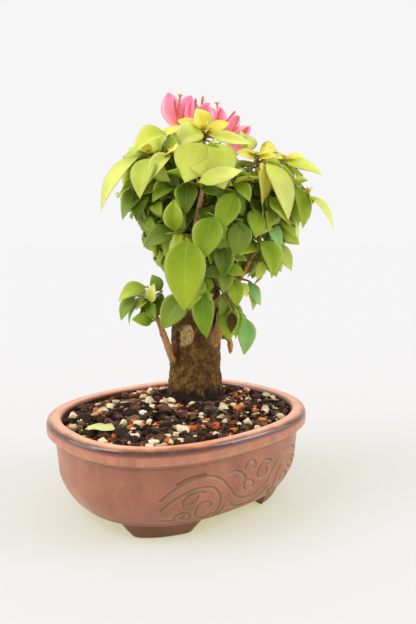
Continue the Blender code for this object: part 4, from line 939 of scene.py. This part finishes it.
class Growth:
    # all that has grown: limbs and twigs as points with radii, and the leaves' blades

    def __init__(self):
        self.points, self.radii, self.owners, self.blades, self.array = [], [], [], [], None
        self.grown = {mass: {"stem": massStem(mass), "twigs": [], "leaves": []} for mass in masses}
        rows = [row for plan in masses.values() for row in plan["leaves"] + plan["more"]]
        self.shown = np.array([shownCorners(showingLeaf(*row)) for row in rows])
        for step in range(trunk["places"]):
            height = trunk["foot"].z + (trunk["top"].z - trunk["foot"].z) * step / (trunk["places"] - 1)
            self.addPath("trunk", [trunkAxis(height)], (trunk["radius"] + trunk["lobeDepth"],) * 2)
        for name, (points, radii) in boughs.items():
            self.addPath(name, smoothPath(points, 12), radii)
        for mass in masses:
            self.addPath(mass + " stem", massStem(mass, 8), (massRadius(mass), crown["stemTip"]))

    def addPath(self, owner, path, radii):
        # its radii run evenly from the first to the last
        for i, point in enumerate(path):
            self.points.append(tuple(point))
            self.radii.append(radii[0] + (radii[1] - radii[0]) * i / max(len(path) - 1, 1))
            self.owners.append(owner)
        self.array = None

    def addTwig(self, mass, path, endsInLeaf):
        # kept with its mass, and as even places with radii
        self.grown[mass]["twigs"].append((path, endsInLeaf))
        self.addPath(mass + " twig", [pointOn(path, t)[0] for t in shares], crown["twigRadii"])

    def addBlade(self, mass, leaf):
        # the room that it takes up: a ball from its base to its tip, and its thin octahedron
        self.blades.append((mass, leaf[0] + leaf[1] * leaf[3] / 2, leaf[3] / 2,
                            BVHTree.FromPolygons(leafCorners(leaf), leafFaces)))

    def addLeaf(self, mass, leaf):
        # a leaf with the room that it takes up
        self.grown[mass]["leaves"].append(leaf)
        self.addBlade(mass, leaf)

    def starts(self, mass):
        # where a shoot may leave its mass's stem
        return [p for p in self.grown[mass]["stem"][1:] if self.free(p, mass)]

    def near(self, place, reach, mass):
        # what stands within reach, other than the mass's own stem and twigs
        if self.array is None:
            self.array = np.array(self.points)
        apart = np.linalg.norm(self.array - np.array(place), axis=1)
        for i in np.nonzero(apart < reach)[0]:
            if self.owners[i] not in (mass + " stem", mass + " twig"):
                yield Vector(self.points[i]), self.radii[i]

    def free(self, place, mass):
        # whether a twig there stays clear of all that isn't its mass's own
        return all((place - point).length > radius + crown["twigRadii"][0] + crown["clear"]
                   for point, radius in self.near(place, trunk["radius"] + crown["nearBy"], mass))


def inside(mass, points):
    # nearer its own ball than any other, by squared distance less squared size, with a soft border
    middle, size = Vector(masses[mass]["ball"][0]), masses[mass]["ball"][1]
    for p in points:
        place = toPot @ p
        if (abs(place.x) > pot["halfLength"] - crown["margin"]
                or abs(place.y) > pot["halfWidth"] - crown["margin"]):
            return False
        own = (p - middle).length_squared - size * size
        for other in masses.values():
            there, reach = Vector(other["ball"][0]), other["ball"][1]
            beyond = (p - there).length_squared - reach * reach - own
            if beyond < -2 * crown["border"] * (there - middle).length:
                return False
    return True


def seenFlat(p):
    # a place as it is seen from the best side, against the plane y = 0
    return crown["bestSide"] + (p - crown["bestSide"]) * crown["bestSide"].y / (crown["bestSide"].y - p.y)


def covers(leaf, shown):
    # whether the leaf stands before one that shows, by the four corners of that one as it is seen
    places = [*leafCorners(leaf)[1:4], *[leaf[0] + leaf[1] * leaf[3] * share for share in crown["midrib"]]]
    seen = np.array([tuple(seenFlat(p)) for p in places])[:, [0, 2]]
    corners, depth = shown[:, :, [0, 2]], shown[:, :, 1].mean(1)
    edge = np.roll(corners, -1, 1) - corners
    off = seen[None, :, None] - corners[:, None]
    side = edge[:, None, :, 0] * off[..., 1] - edge[:, None, :, 1] * off[..., 0]
    within = (side > 0).all(-1) | (side < 0).all(-1)
    return bool((within & (np.array([p.y for p in places])[None] < depth[:, None] + 1)).any())


def shownCorners(leaf):
    # its four corners as they are seen, with their true distance away
    base, tip, left, right = leaf[0], *leafCorners(leaf)[1:4]
    return [(seenFlat(p).x, p.y, seenFlat(p).z) for p in (base, left, tip, right)]


def inOutline(points):
    # as they are seen: between the outline's edges at each height, and outside every window of sky
    for p in points:
        seen = seenFlat(p)
        left, right = [np.interp(seen.z, outline[:, 0], outline[:, side]) for side in (1, 2)]
        if not left <= seen.x <= right or (np.hypot(skies[:, 0] - seen.x, skies[:, 1] - seen.z) < skies[:, 2]).any():
            return False
    return True


def leafCorners(leaf, room=0.0):
    # a leaf as a thin octahedron: its base, its tip, its two sides at the widest place, and above and below there
    base, along, up, length, width, arch = leaf[:6]
    side = along.cross(up)
    wide = base + along * length * crown["widest"] + up * arch
    thick = up * (length * crown["thickness"] / 2 + room)
    lift = up * width * crown["fold"]
    return (base - along * crown["sink"], base + along * (length + room),
            wide + side * (width / 2 + room) + lift, wide - side * (width / 2 + room) + lift,
            wide + thick, wide - thick)


def leafFits(mass, leaf, growth, showing, room=crown["room"]):
    # inside its mass and the outline, and clear of other limbs and leaves
    base, along, length = leaf[0], leaf[1], leaf[3]
    corners = leafCorners(leaf)[1:4]
    places = [*corners, base + along * length * crown["midrib"][1]]
    if not inside(mass, corners) or not (showing or inOutline(places)):
        return False
    blade = BVHTree.FromPolygons(leafCorners(leaf, room), leafFaces)
    middle = base + along * length / 2
    for point, radius in growth.near(middle, length * crown["leafBall"] + trunk["radius"], mass):
        if blade.find_nearest(point)[3] < radius + room:
            return False
    return not any((middle - there).length < length + reach and blade.overlap(other)
                   for owner, there, reach, other in growth.blades if owner != mass or not showing)


def twigFits(mass, path, growth):
    # inside its mass, and clear of other limbs and of other masses' leaves, at four places on each of its spans
    if not inside(mass, path):
        return False
    room = crown["twigRadii"][0] + crown["clear"]
    for place in [a.lerp(b, t / 4) for a, b in zip(path, path[1:]) for t in range(4)] + [path[-1]]:
        if not growth.free(place, mass) or any(
                (place - there).length < reach + room and blade.find_nearest(place)[3] < room
                for owner, there, reach, blade in growth.blades if owner != mass):
            return False
    return True


def shootTips(count, share, turned=0.0):
    # even points on the crown's ball, each a golden angle on from the last and lower by an even step
    tips = []
    for i in range(count):
        z = 1 - crown["lowest"] * (i + 0.5) / count
        ring = math.sqrt(1 - z * z)
        turn = goldenAngle * i + turned
        way = Vector((ring * math.cos(turn), ring * math.sin(turn), z))
        reach = crown["reach"] * share
        reach.y *= crown["front"] if way.y < 0 else 1
        tips.append(crown["middle"] + way * reach)
    return tips


def ownMass(place):
    # the mass whose ball it is nearest, by squared distance less squared size
    def depth(mass):
        middle, size = masses[mass]["ball"]
        return (place - Vector(middle)).length_squared - size * size
    return min(masses, key=depth)


def across(direction, wish):
    # the wished direction, less what of it goes along the given one
    return (wish - direction * wish.dot(direction)).normalized()


def outwards(place):
    # level and away from the crown's middle
    out = place - crown["middle"]
    out.z = 0
    return out.normalized()


def leafFacing(place, along, front=0.0):
    # a leaf's upper face looks outwards, upwards and, where it shows, to the front
    return across(along, outwards(place) * crown["facing"][0] + Vector((0, -front, crown["facing"][1])))


def shootPath(starts, tip):
    # from the nearest start, rather below the tip, with a bend that rises before it
    start = min(starts, key=lambda p: (p - tip).length + max(0.0, p.z - tip.z))
    share, rise, before, after = crown["bend"]
    bend = start.lerp(tip, share) + Vector((0, 0, rise * (tip - start).length))
    path = [start, start.lerp(bend, before), bend.lerp(tip, after)]
    return path + [tip + (tip - path[-1]).normalized() * crown["twigOver"]]


def pointOn(path, t):
    # the place and direction at a share of the way along three spans
    spot = min(int(t * 3), 2)
    a, b = path[spot], path[spot + 1]
    return a.lerp(b, t * 3 - spot), (b - a).normalized()


def droopAt(place, least, spare, rng):
    # leaves hang more the lower they stand
    low = max(0.0, min(1.0, (crown["droopTop"] - place.z) / crown["droopFall"]))
    return least + crown["droopGain"] * low + rng.uniform(-spare, spare)


def leavesAlong(mass, path, form, first, count, rng, growth):
    # a leaf at each joint from the tip down, each a golden angle on from the last
    phase, (tip, run, spare) = rng.uniform(0, tau), form["joints"]
    for k in range(first, count):
        spot = pointOn(path, tip - run * (k + (rng.uniform(0, spare) if spare else 0)) / count)
        droop = droopAt(spot[0], *form["droop"], rng)
        size = rng.uniform(*form["leafLength"]) * (form["tipLeaf"] if k == 0 else 1.0)
        tryLeaf(mass, mass, growth, spot, phase + goldenAngle * k, droop, size, form)


def tryLeaf(mass, owner, growth, spot, turned, droop, size, form):
    # turned round its twig and shortened until it fits
    base, axis = spot
    side = across(axis, Vector((1, 0, 0)))
    (sideways, ahead, out), (turnStep, shorter) = crown["aim"], crown["retry"]
    for attempt in range(form["attempts"]):
        turn = turned + attempt * turnStep
        ring = side * math.cos(turn) + axis.cross(side) * math.sin(turn)
        along = (ring * sideways + axis * ahead + outwards(base) * out - Vector((0, 0, droop))).normalized()
        long = size * (1 - shorter * attempt)
        leaf = (base, along, leafFacing(base, along), long, long * crown["leafShape"], long * crown["leafArch"])
        if not covers(leaf, growth.shown) and leafFits(mass, leaf, growth, False, form["room"]):
            growth.grown[owner]["leaves"].append(leaf)
            growth.addBlade(mass, leaf)
            return


def massRadius(mass):
    # a stem starts as thick as its bough ends
    plan = masses[mass]
    return boughs[plan["bough"]][1][1] if plan["bough"] else plan["radius"]


def massStem(mass, pieces=3):
    # on from its bough's end across a small gap, or by itself
    plan = masses[mass]
    if not plan["bough"]:
        return smoothPath(plan["stem"], pieces)
    path = smoothPath(boughs[plan["bough"]][0])
    end, way = path[-1], (path[-1] - path[-2]).normalized()
    return [end + way * crown["gap"]] + smoothPath([end + way * crown["stemRun"], *plan["stem"]], pieces)


def makeHeads():
    # each head's place, its core, its bracts and its flowers, leaning as its flowers do
    heads = []
    for place, bractTips, flowerTips in flowerHeads:
        place = Vector(place)
        lean = sum(((Vector(tip) - place).normalized() for tip in flowerTips), Vector()).normalized()
        bracts = []
        for tip, width in bractTips:
            length, along = (Vector(tip) - place).length, (Vector(tip) - place).normalized()
            out = across(lean, along)
            facing = across(along, Vector((0, -bloom["showing"], 0)) - out)
            bracts.append((place + out, along, facing, length, width, bloom["bractArch"]))
        flowers = [[place + (Vector(tip) - place).normalized(), Vector(tip)] for tip in flowerTips]
        core = [place - lean * bloom["headRadius"], place + lean * bloom["headRadius"] * bloom["headOver"]]
        heads.append((place, core, bracts, flowers))
    return heads


def showingLeaf(base, tip, width, arch, *look):
    # a placed leaf as base, direction, facing, length, width and arch, with its colour and fold if they are given
    base, tip = Vector(base), Vector(tip)
    along = (tip - base).normalized()
    return (base, along, leafFacing(base, along, crown["showingFront"]), (tip - base).length, width, arch, *look)


def growCrown():
    # the part's own order: blossom, showing leaves, twigs, then seeded leaves
    growth, heads = Growth(), makeHeads()
    grown = growth.grown
    for place, core, bracts, flowers in heads:
        for bract in bracts:
            growth.addLeaf("blossom", bract)
        twig = shootPath(grown["blossom"]["stem"][1:], place)
        grown["blossom"]["twigs"].append((twig, True))
        for path, width in ([(twig, crown["twigRadii"][0]), (core, bloom["headRadius"])]
                            + [(flower, bloom["tubeRadius"]) for flower in flowers]):
            growth.addPath("blossom twig", [path[0].lerp(path[-1], t) for t in shares], (width, width))
    shoots = []
    for mass, plan in masses.items():
        for row in plan["leaves"]:
            leaf = showingLeaf(*row)
            if leafFits(mass, leaf, growth, True):
                shoots.append((mass, leaf[0], leaf))
                growth.addBlade(mass, leaf)
    for tip in shootTips(crown["tips"], 1.0):
        if inOutline([tip]) and all((tip - place).length > crown["tipSpacing"] for mass, place, leaf in shoots):
            shoots.append((ownMass(tip), tip, None))
    for mass, tip, leaf in shoots:
        path = shootPath(growth.starts(mass), tip)
        if mass != "blossom" and twigFits(mass, path, growth):
            growth.addTwig(mass, path, bool(leaf))
            grown[mass]["leaves"] += [leaf] if leaf else []
    for mass in leafMasses:
        rng = random.Random(masses[mass]["seed"])
        for path, endsInLeaf in grown[mass]["twigs"]:
            length = sum((b - a).length for a, b in zip(path, path[1:]))
            count = max(crown["shootLeaves"][0], min(crown["shootLeaves"][1], round(length / crown["internode"])))
            leavesAlong(mass, path, crown, int(endsInLeaf), count, rng, growth)
    return growth, heads


# Finer growth, inside the same reach: more shoots between the part's own, and small leaves along every twig
finer = {"blossomLeaves": 7, "blossomDroop": (0.1, 1.0), "apart": 7.5, "seed": 90, "leafLength": (16.0, 28.0),
         "shells": ((110, 0.95, 0.7), (70, 0.7, 1.9), (40, 0.45, 2.6)),   # shoots, share of the crown's reach, turn
         "leaves": 4, "alongTwig": 3, "joints": (0.99, 0.75, 0.6), "droop": (0.15, 0.3), "tipLeaf": 1.0,
         "attempts": 7, "room": 0.4}


def growFiner(growth):
    # the placed leaves of the looks, then leaves on the blossom's stem, then shells of shoots, then their leaves
    rng = random.Random(finer["seed"])
    grown = growth.grown
    for mass, plan in masses.items():
        for row in plan["more"]:
            leaf = showingLeaf(*row)
            path = shootPath(growth.starts(mass), leaf[0])
            growth.addLeaf(mass, leaf)
            growth.addTwig(mass, path, True)
    # small leaves on the blossom's stem, which are drawn with the top mass's
    stem = grown["blossom"]["stem"]
    for spot in [(a, (b - a).normalized()) for a, b in zip(stem, stem[1:])] * finer["blossomLeaves"]:
        turned, droop = rng.uniform(0, tau), rng.uniform(*finer["blossomDroop"])
        tryLeaf("blossom", "crown_top", growth, spot, turned, droop, rng.uniform(*finer["leafLength"]), finer)
    old = [(mass, twig[0]) for mass in leafMasses for twig in grown[mass]["twigs"]]
    tips, new = [path[-1] for owner, path in old], []
    for count, share, turned in finer["shells"]:
        for tip in shootTips(count, share, turned):
            mass = ownMass(tip)
            close = any((tip - other).length < finer["apart"] for other in tips)
            if mass == "blossom" or close or not inOutline([tip]):
                continue
            starts = growth.starts(mass) + [path[k] for owner, path in old if owner == mass for k in (1, 2)]
            path = shootPath(starts, tip)
            if twigFits(mass, path, growth):
                tips.append(tip)
                new.append((mass, path))
                growth.addTwig(mass, path, False)
    for rows, count in ((new, finer["leaves"]), (old, finer["alongTwig"])):
        for mass, path in rows:
            leavesAlong(mass, path, finer, 0, count, rng, growth)


# How a blade is drawn: rows along it, places across it, and its outline as share^rise * (1 - share)^fall
bladeKinds = {
    "coarse": {"rows": (0.05, 0.1, 0.18, 0.3, 0.44, 0.6, 0.76, 0.9), "top": (-1, -0.5, 0, 0.5, 1), "under": (0,),
               "rise": 0.68, "fall": 1.12, "stalk": 0.07},
    "fine": {"rows": np.round(np.linspace(0.03, 0.985, 17), 3), "under": (0.6, 0, -0.6),
             "top": (-1, -0.8, -0.55, -0.28, 0, 0.28, 0.55, 0.8, 1), "rise": 0.66, "fall": 1.06, "stalk": 0.07},
    "bract": {"rows": np.round(np.linspace(0.03, 0.985, 15), 3), "under": (0.5, 0, -0.5),
              "top": (-1, -0.75, -0.5, -0.25, 0, 0.25, 0.5, 0.75, 1), "rise": 0.5, "fall": 0.62, "stalk": 0.04},
}
# where along it a blade is widest and where its tip starts to curl, its stalk's half width, and its waves
bladeForm = {"widest": 0.42, "curlFrom": 0.55, "stalkHalf": 0.4, "waves": 1.2, "sidesApart": 2.1, "narrowing": 0.12}


def bladeShells(leaves, kind, looks, thick):
    # a ring round the blade at each row: across the top from edge to edge, then back along the underside. The
    # middle line arches, the sides lift by the fold, the edges wave and the tip curls down.
    spec, form = bladeKinds[kind], bladeForm
    base, along, up = [np.array([tuple(leaf[k]) for leaf in leaves])[:, None, None] for k in range(3)]
    length, width, arch = [np.array([float(leaf[k]) for leaf in leaves])[:, None, None] for k in (3, 4, 5)]
    fold, wave, phase, curl, bend = [looks[:, k][:, None, None] for k in range(5)]
    t = np.array(spec["rows"])[None, :, None]
    s = np.array(spec["top"] + spec["under"])[None, None, :]
    below = np.arange(s.shape[2]) >= len(spec["top"])
    share = np.clip((t - spec["stalk"]) / (1 - spec["stalk"]), 0, 1)
    peak = spec["rise"] / (spec["rise"] + spec["fall"])
    outline = share ** spec["rise"] * (1 - share) ** spec["fall"]
    outline = outline / (peak ** spec["rise"] * (1 - peak) ** spec["fall"])
    half = width / 2 * outline + form["stalkHalf"] * (1 - t)
    swell = np.sin(math.pi * t)
    fromWidest = t - form["widest"]
    rise = 1 - np.where(fromWidest < 0, fromWidest / form["widest"], fromWidest / (1 - form["widest"])) ** 2
    height = arch * rise + np.abs(s) * half * fold - curl * length * np.maximum(t - form["curlFrom"], 0) ** 2
    ripple = np.sin(tau * (form["waves"] * t + phase) + (s > 0) * form["sidesApart"])
    height = height + wave * half * np.abs(s) * ripple * swell
    height = height - np.where(below, thick * np.minimum(1, half / 2) * (1 - s ** 2), 0)
    sideways = s * half * (1 - form["narrowing"] * fold ** 2) + bend * length * swell
    points = closeTube(base + along * (length * t + 0 * s)[..., None] + up * height[..., None]
                       + np.cross(along, up) * sideways[..., None])
    base, along, up = base[:, 0, 0], along[:, 0, 0], up[:, 0, 0]
    points[:, -2] = base - along * crown["sink"]
    points[:, -1] = base + along * length[:, 0] - up * curl[:, 0] * length[:, 0] * (1 - form["curlFrom"]) ** 2
    uv = np.concatenate([grid((s + 1) / 2, share).reshape(-1, 2), [(0.5, 0), (0.5, 1)]])
    faces = manyFaces(points, t.shape[1], s.shape[2])
    return inPot(points), faces, np.tile(uv, (len(leaves), 1))


def joinShells(shells):
    # several (points, faces, uv) as one
    points, blocks, uvs, size = [], [], [], 0
    for shell, faces, uv in shells:
        blocks += [b + size for b in faces]
        points.append(shell)
        uvs.append(uv)
        size += len(shell)
    return np.concatenate(points), blocks, np.concatenate(uvs)


def leafLook(name, colours, vein, grainSize, roughness, veinShare, veinCount):
    # soft leaf with a dull wax bloom: colours from stalk to tip, paler midrib, side veins and edge, faint blotches
    material, shader, add = newMaterial(name, {
        "Roughness": roughness, "Specular IOR Level": 0.14, "Subsurface Weight": 0.3, "Subsurface Scale": 1.0,
        "Subsurface Radius": (0.0022, 0.003, 0.0008)})
    surface = add("UVMap", uv_map="surface")
    parts = add("SeparateXYZ", surface).node.outputs
    off = add("Math", parts["X"], 2.0, -1.0, operation="MULTIPLY_ADD")
    away = add("Math", off, operation="ABSOLUTE")
    midrib = add("MapRange", away, 0.09, 0.02)
    slant = add("Math", away, -0.42, parts["Y"], operation="MULTIPLY_ADD")
    steps = add("Math", slant, veinCount, operation="MULTIPLY")
    swing = add("Math", steps, 0.5, operation="PINGPONG")
    ribs = add("MapRange", swing, 0.14, 0.0, 0, 0.22)
    edge = add("MapRange", away, 0.86, 1.0, 0, 3.4)
    veins = add("Math", midrib, ribs, operation="MAXIMUM")
    marks = add("Math", veins, edge, operation="MAXIMUM")
    strength = add("Math", marks, veinShare, operation="MULTIPLY")
    plain = add("ValToRGB", parts["Y"], stops=colours)
    drawn = add("Mix", strength, plain, vein, data_type="RGBA")
    spots = add("TexCoord")
    blotch = add("TexNoise", spots, 1000 / grainSize, 3.0)
    # 24 mm clouds set each leaf's own tone, as no two leaves are as old
    drift = add("TexNoise", spots, 1000 / 24, 0.0)
    both = add("Mix", 0.62, blotch, drift)
    tone = add("MapRange", both, 0.32, 0.68, 0.8, 1.16)
    toned = add("VectorMath", drawn, tone, operation="SCALE")
    bump = add("Bump", Strength=0.25, Distance=0.0003, invert=True, Height=veins)
    fill(shader, {"Base Color": toned, "Normal": bump})
    return material


# A spray's tint from its place, partly its age and partly painted shade: how its score grows with height and with
# outness, its chance, and the limits of the tints
ageAndShade = {"height": 0.5, "middle": 185, "rise": 100, "out": 0.62, "outMiddle": 0.75, "chance": 0.2,
          "reach": (62, 46, 110, 50), "blueBelow": -0.1, "blueRight": 45, "blueShare": 0.45,
          "limits": ((-0.22, "dark"), (-0.04, "deep"), (0.16, "mid"), (0.3, "olive"), (0.46, "bright"),
                     (0.62, "lime"), (0.8, "pale"), (math.inf, "yellow"))}


def sprayTint(leaf, rng):
    # young and bright high up and outside, dark inside and low, cooler on the lower right: the dark inside and low is
    # partly older leaves and partly painted shade
    place = leaf[0] + leaf[1] * leaf[3] * 0.6
    out = place - crown["middle"]
    wide, back, front, tall = ageAndShade["reach"]
    outness = min(1.2, Vector((out.x / wide, out.y / (back if out.y > 0 else front), out.z / tall)).length)
    score = (ageAndShade["height"] * (place.z - ageAndShade["middle"]) / ageAndShade["rise"]
             + ageAndShade["out"] * (outness - ageAndShade["outMiddle"]) + rng.gauss(0, ageAndShade["chance"]))
    if score < ageAndShade["blueBelow"] and place.x > ageAndShade["blueRight"] and rng.random() < ageAndShade["blueShare"]:
        return "blue"
    return next(tint for limit, tint in ageAndShade["limits"] if score < limit)


# what a blade's looks are drawn from, and what those of the leaves that show most are multiplied by
bladeDraws = {"fold": (0.26, 0.2), "wave": (0.03, 0.12), "curl": (0.0, 0.45), "bend": (0, 0.025),
              "showing": (0.85, 0.8, 1, 0.9, 1.3)}


def bladeLooks(leaves, rng):
    # fold, wave, phase, tip curl and sideways bend of each leaf; those that show most are flatter
    draws, count = bladeDraws, len(leaves)
    looks = np.stack([rng.normal(*draws["fold"], count), rng.uniform(*draws["wave"], count), rng.random(count),
                      rng.uniform(*draws["curl"], count), rng.normal(*draws["bend"], count)], -1)
    for i, leaf in enumerate(leaves):
        if len(leaf) > 6:
            looks[i] *= draws["showing"]
        if len(leaf) > 7:
            looks[i, 0] = leaf[7]
    return looks


def rolled(leaf, angle):
    # the same leaf turned about its own length
    return (leaf[0], leaf[1], Quaternion(leaf[1], angle) @ leaf[2], *leaf[3:])


# Bare young shoots that show against the sky
paleShoots = (((49, 10, 234), (53, 11, 248), (59, 15, 262)), ((76, 16, 244), (80, 17, 254), (81, 18, 261)))
# Clusters of unfolding leaves round a bud at the ends of the topmost shoots: place, leaves, size
rosettes = (((19, 6, 281), 5, 9), ((60, 17, 263), 5, 8), ((81, 18, 261), 5, 8), ((-23, 6, 264), 6, 8),
            ((-4, -13, 262), 3, 7), ((97, 6, 235), 3, 7), ((-22, 1, 156), 4, 6))
rosetteForm = {"rise": (0.0, 0.6), "length": (1.0, 1.4), "width": 0.55, "arch": 0.5, "facing": Vector((0, -0.7, 1))}
# radii at both ends of the green twigs, the bare shoots and the blossom's twigs, then the stems' and the buds' forms
twigForm = {"green": (1.05, 0.55), "bare": (1.5, 0.9), "blossom": (0.9, 0.6), "neck": (0.9, 1.5), "rooted": 2.5,
            "stemTip": 1.2, "relief": 0.22, "buds": 5, "bud": (0.4, 0.7, 1.0, 1.15, 1.0, 0.7, 0.2)}


def makeFoliage(grown):
    # every leaf goes to its tint, and each tint is one piece
    rng, arrays, form = random.Random(5), np.random.default_rng(6), rosetteForm
    # for each tint, the leaves drawn coarsely and those drawn finely, as they show
    dealt = {tint: ([], []) for tint in tints}
    for mass in leafMasses:
        for leaf in grown[mass]["leaves"]:
            if len(leaf) > 6:
                dealt[leaf[6]][1].append(leaf)
            else:
                dealt[sprayTint(leaf, rng)][0].append(rolled(leaf, rng.gauss(0, 0.5)))
    for place, count, size in rosettes:
        for k in range(count):
            turn = goldenAngle * k + place[0]
            along = Vector((math.cos(turn), math.sin(turn), rng.uniform(*form["rise"]))).normalized()
            leaf = (Vector(place), along, across(along, form["facing"]), size * rng.uniform(*form["length"]),
                    size * form["width"], form["arch"])
            dealt["yellow" if k % 3 else "pale"][0].append(leaf)
    for tint, groups in dealt.items():
        shells = [bladeShells(leaves, kind, bladeLooks(leaves, arrays), thick)
                  for leaves, kind, thick in zip(groups, ("coarse", "fine"), (0.5, 0.55)) if leaves]
        if not shells:
            continue
        stalk, tip = tints[tint]
        vein = tuple(a * 0.4 + b * 0.6 for a, b in zip(toLinear(tip), toLinear("d6e45a")))
        veinShare = 0.05 if tint == "brown" else 0.17
        look = leafLook("leaf_" + tint, ((0.1, stalk), (0.8, tip)), vein, 8.0, 0.46, veinShare, 8.0)
        points, blocks, uv = joinShells(shells)
        addPiece("leaves_" + tint, points, blocks, look, leafMasses, uv)
        print("leaves", tint, *map(len, groups))


def makeFallenLeaf():
    # a blade that lies nearly flat
    leaf = showingLeaf(*fallenLeaf)
    leaf = (leaf[0], leaf[1], across(leaf[1], Vector((0.2, 0, 1))), *leaf[3:])
    points, blocks, uv = bladeShells([leaf], "fine", np.array([[0.06, 0.1, 0.3, 0.1, 0.05]]), 0.5)
    look = leafLook("fallen_leaf", ((0, "cfd873"), (1, "dde08a")), toLinear("f2f0b4"), 5.0, 0.5, 0.4, 8.0)
    addPiece("fallen_leaf", points, blocks, look, ("soil",), uv)


def addTubes(name, rows, ringCount, look, replaces, relief=0.0):
    # many limbs of equally many places, as (line, radii), each along its own path
    lines, radii = [np.array(column) for column in zip(*rows)]
    rings = tubeRings(lines, radii, ringCount)
    points = closeTube(roughened(rings, lines, relief) if relief else rings)
    faces = manyFaces(points, lines.shape[1], ringCount)
    addPiece(name, inPot(points), faces, look, replaces)


def limb(path, first, last, count=10):
    # a smooth line of count points with radii from the first to the last
    return spread(smoothPath(path, 4), count), np.linspace(first, last, count)


def makeTwigs(grown, look):
    # stems, twigs and bare shoots as tapering tubes, and buds as short tubes that swell in the middle
    woody, green, buds = [], [], []
    for mass in masses:
        # the stem is rooted inside the bough's end
        first, second, *rest = grown[mass]["stem"]
        rooted = first - (second - first).normalized() * twigForm["rooted"]
        woody.append(limb([rooted, second, *rest], massRadius(mass), twigForm["stemTip"], 34))
        green += [limb(twig[0], *twigForm["green"]) for twig in grown[mass]["twigs"]]
    green += [limb(path, *twigForm["bare"]) for path in paleShoots]
    addTubes("bark_stems", woody, 14, look, leafMasses + ["blossom"], twigForm["relief"])
    addTubes("green_twigs", green, 7,
             earthLook("green_twig_bark", ("6f5a2c", "8a7a35", "a3953f", "b5b055"), 0.7, 6.0), leafMasses)
    rng, swelling = np.random.default_rng(33), np.array(twigForm["bud"])
    for rosette in rosettes:
        for bud in range(twigForm["buds"]):
            way = unit(rng.normal(0, 1, 3) + (0, -0.3, 1.2))
            line = np.array(rosette[0]) + way * np.linspace(-0.5, rng.uniform(3, 5), len(swelling))[:, None]
            buds.append((line, swelling * rng.uniform(0.7, 1.1)))
    addTubes("buds", buds, 8, earthLook("yellow_bud", ("dc9c34", "e8b244", "f2cc5a", "f6dd80"), 0.6, 4.0),
             leafMasses)


def makeBlossom(grown, heads):
    # bracts as blades, flowers between them, and stalks that swell into the flowers' feet
    rng = np.random.default_rng(12)
    places, cores, bractRows, flowerRows = zip(*heads)
    bracts = sum(bractRows, [])
    looks = bladeLooks(bracts, rng)
    for column, least, most in bloom["bractDraws"]:
        looks[:, column] = rng.uniform(least, most, len(bracts))
    points, blocks, uv = bladeShells(bracts, "bract", looks, 0.35)
    look = leafLook("papery_pink_bract", bloom["bractColours"], toLinear("d8646a"), 4.0, 0.6, 0.3, 11.0)
    # light comes through the thin bracts, and a pink emission on them is a painted glow
    fill(look.node_tree.nodes["Principled BSDF"], {
        "Subsurface Weight": 0.6, "Subsurface Radius": (0.004, 0.0022, 0.0022), "Emission Color": "ff7a90",
        "Emission Strength": bloom["glow"]})
    addPiece("bracts", points, blocks, look, ("blossom",), uv)
    makeFlowers(sum(flowerRows, []))
    stalks = [limb(twig[0], *twigForm["blossom"]) for twig in grown["blossom"]["twigs"]]
    stalks += [(spread([place, place + (core[1] - core[0]) * 0.5], 10), np.linspace(*twigForm["neck"], 10))
               for place, core in zip(places, cores)]
    addTubes("flower_stalks", stalks, 8, earthLook("bract_stalk", ("8a4a3a", "a8705a", "b98a6a", "c79f80"), 0.7, 5.0),
             ("blossom",))


def makeFlowers(lines):
    # a flower is a narrow tube, swollen at its foot; some open into a five-pointed star with a pit in its middle,
    # the rest end in a closed bud. Each bends a little to one side, most at half its length.
    rng = np.random.default_rng(21)
    sides = bloom["flowerSides"]
    for kind, chosen in (("open", [line for k, line in enumerate(lines) if k in bloom["opened"]]),
                         ("closed", [line for k, line in enumerate(lines) if k not in bloom["opened"]])):
        along, width, starry = np.array(bloom[kind]).T
        foot, tip = np.array([[tuple(p) for p in line] for line in chosen]).swapaxes(0, 1)[:, :, None]
        bend = unit(np.cross(tip - foot, rng.normal(0, 1, (len(chosen), 3))[:, None]))
        bend = bend * rng.uniform(*bloom["bends"], (len(chosen), 1))[:, None]

        def path(t):
            t = t[None, :, None]
            return foot + (tip - foot) * t + bend * (4 * t * (1 - t))

        even = path(np.linspace(0, along.max(), len(along)))
        out = unit(tubeRings(even, np.ones(even.shape[:2]), sides) - even[:, :, None])
        radius = bloom["tubeRadius"] * width[:, None] * (1 + starry[:, None] * np.cos(bloom["points"] * turns(sides)))
        points = closeTube(path(along)[:, :, None] + out * radius[None, :, :, None])
        uv = grid(0.5, np.linspace(0, 1, len(along))[:, None] + np.zeros(sides)).reshape(-1, 2)
        uv = np.tile(np.concatenate([uv, [(0.5, 0), (0.5, 1)]]), (len(points), 1))
        look = leafLook(kind + "_flowers", bloom[kind + "Colours"], toLinear("ffc0a0"), 3.0, 0.55, 0.1, 3.0)
        addPiece(kind + "_flowers", inPot(points), manyFaces(points, len(along), sides), look, ("blossom",),
                 uv)


growth, heads = growCrown()
grown = growth.grown
print("grown as the part,", sum(len(g["leaves"]) for g in grown.values()), "leaves")
growFiner(growth)
print("grown finer,", sum(len(g["leaves"]) for g in grown.values()), "leaves")
makeFoliage(grown)
makeFallenLeaf()
makeTwigs(grown, boughLook)
makeBlossom(grown, heads)
print("crown made")
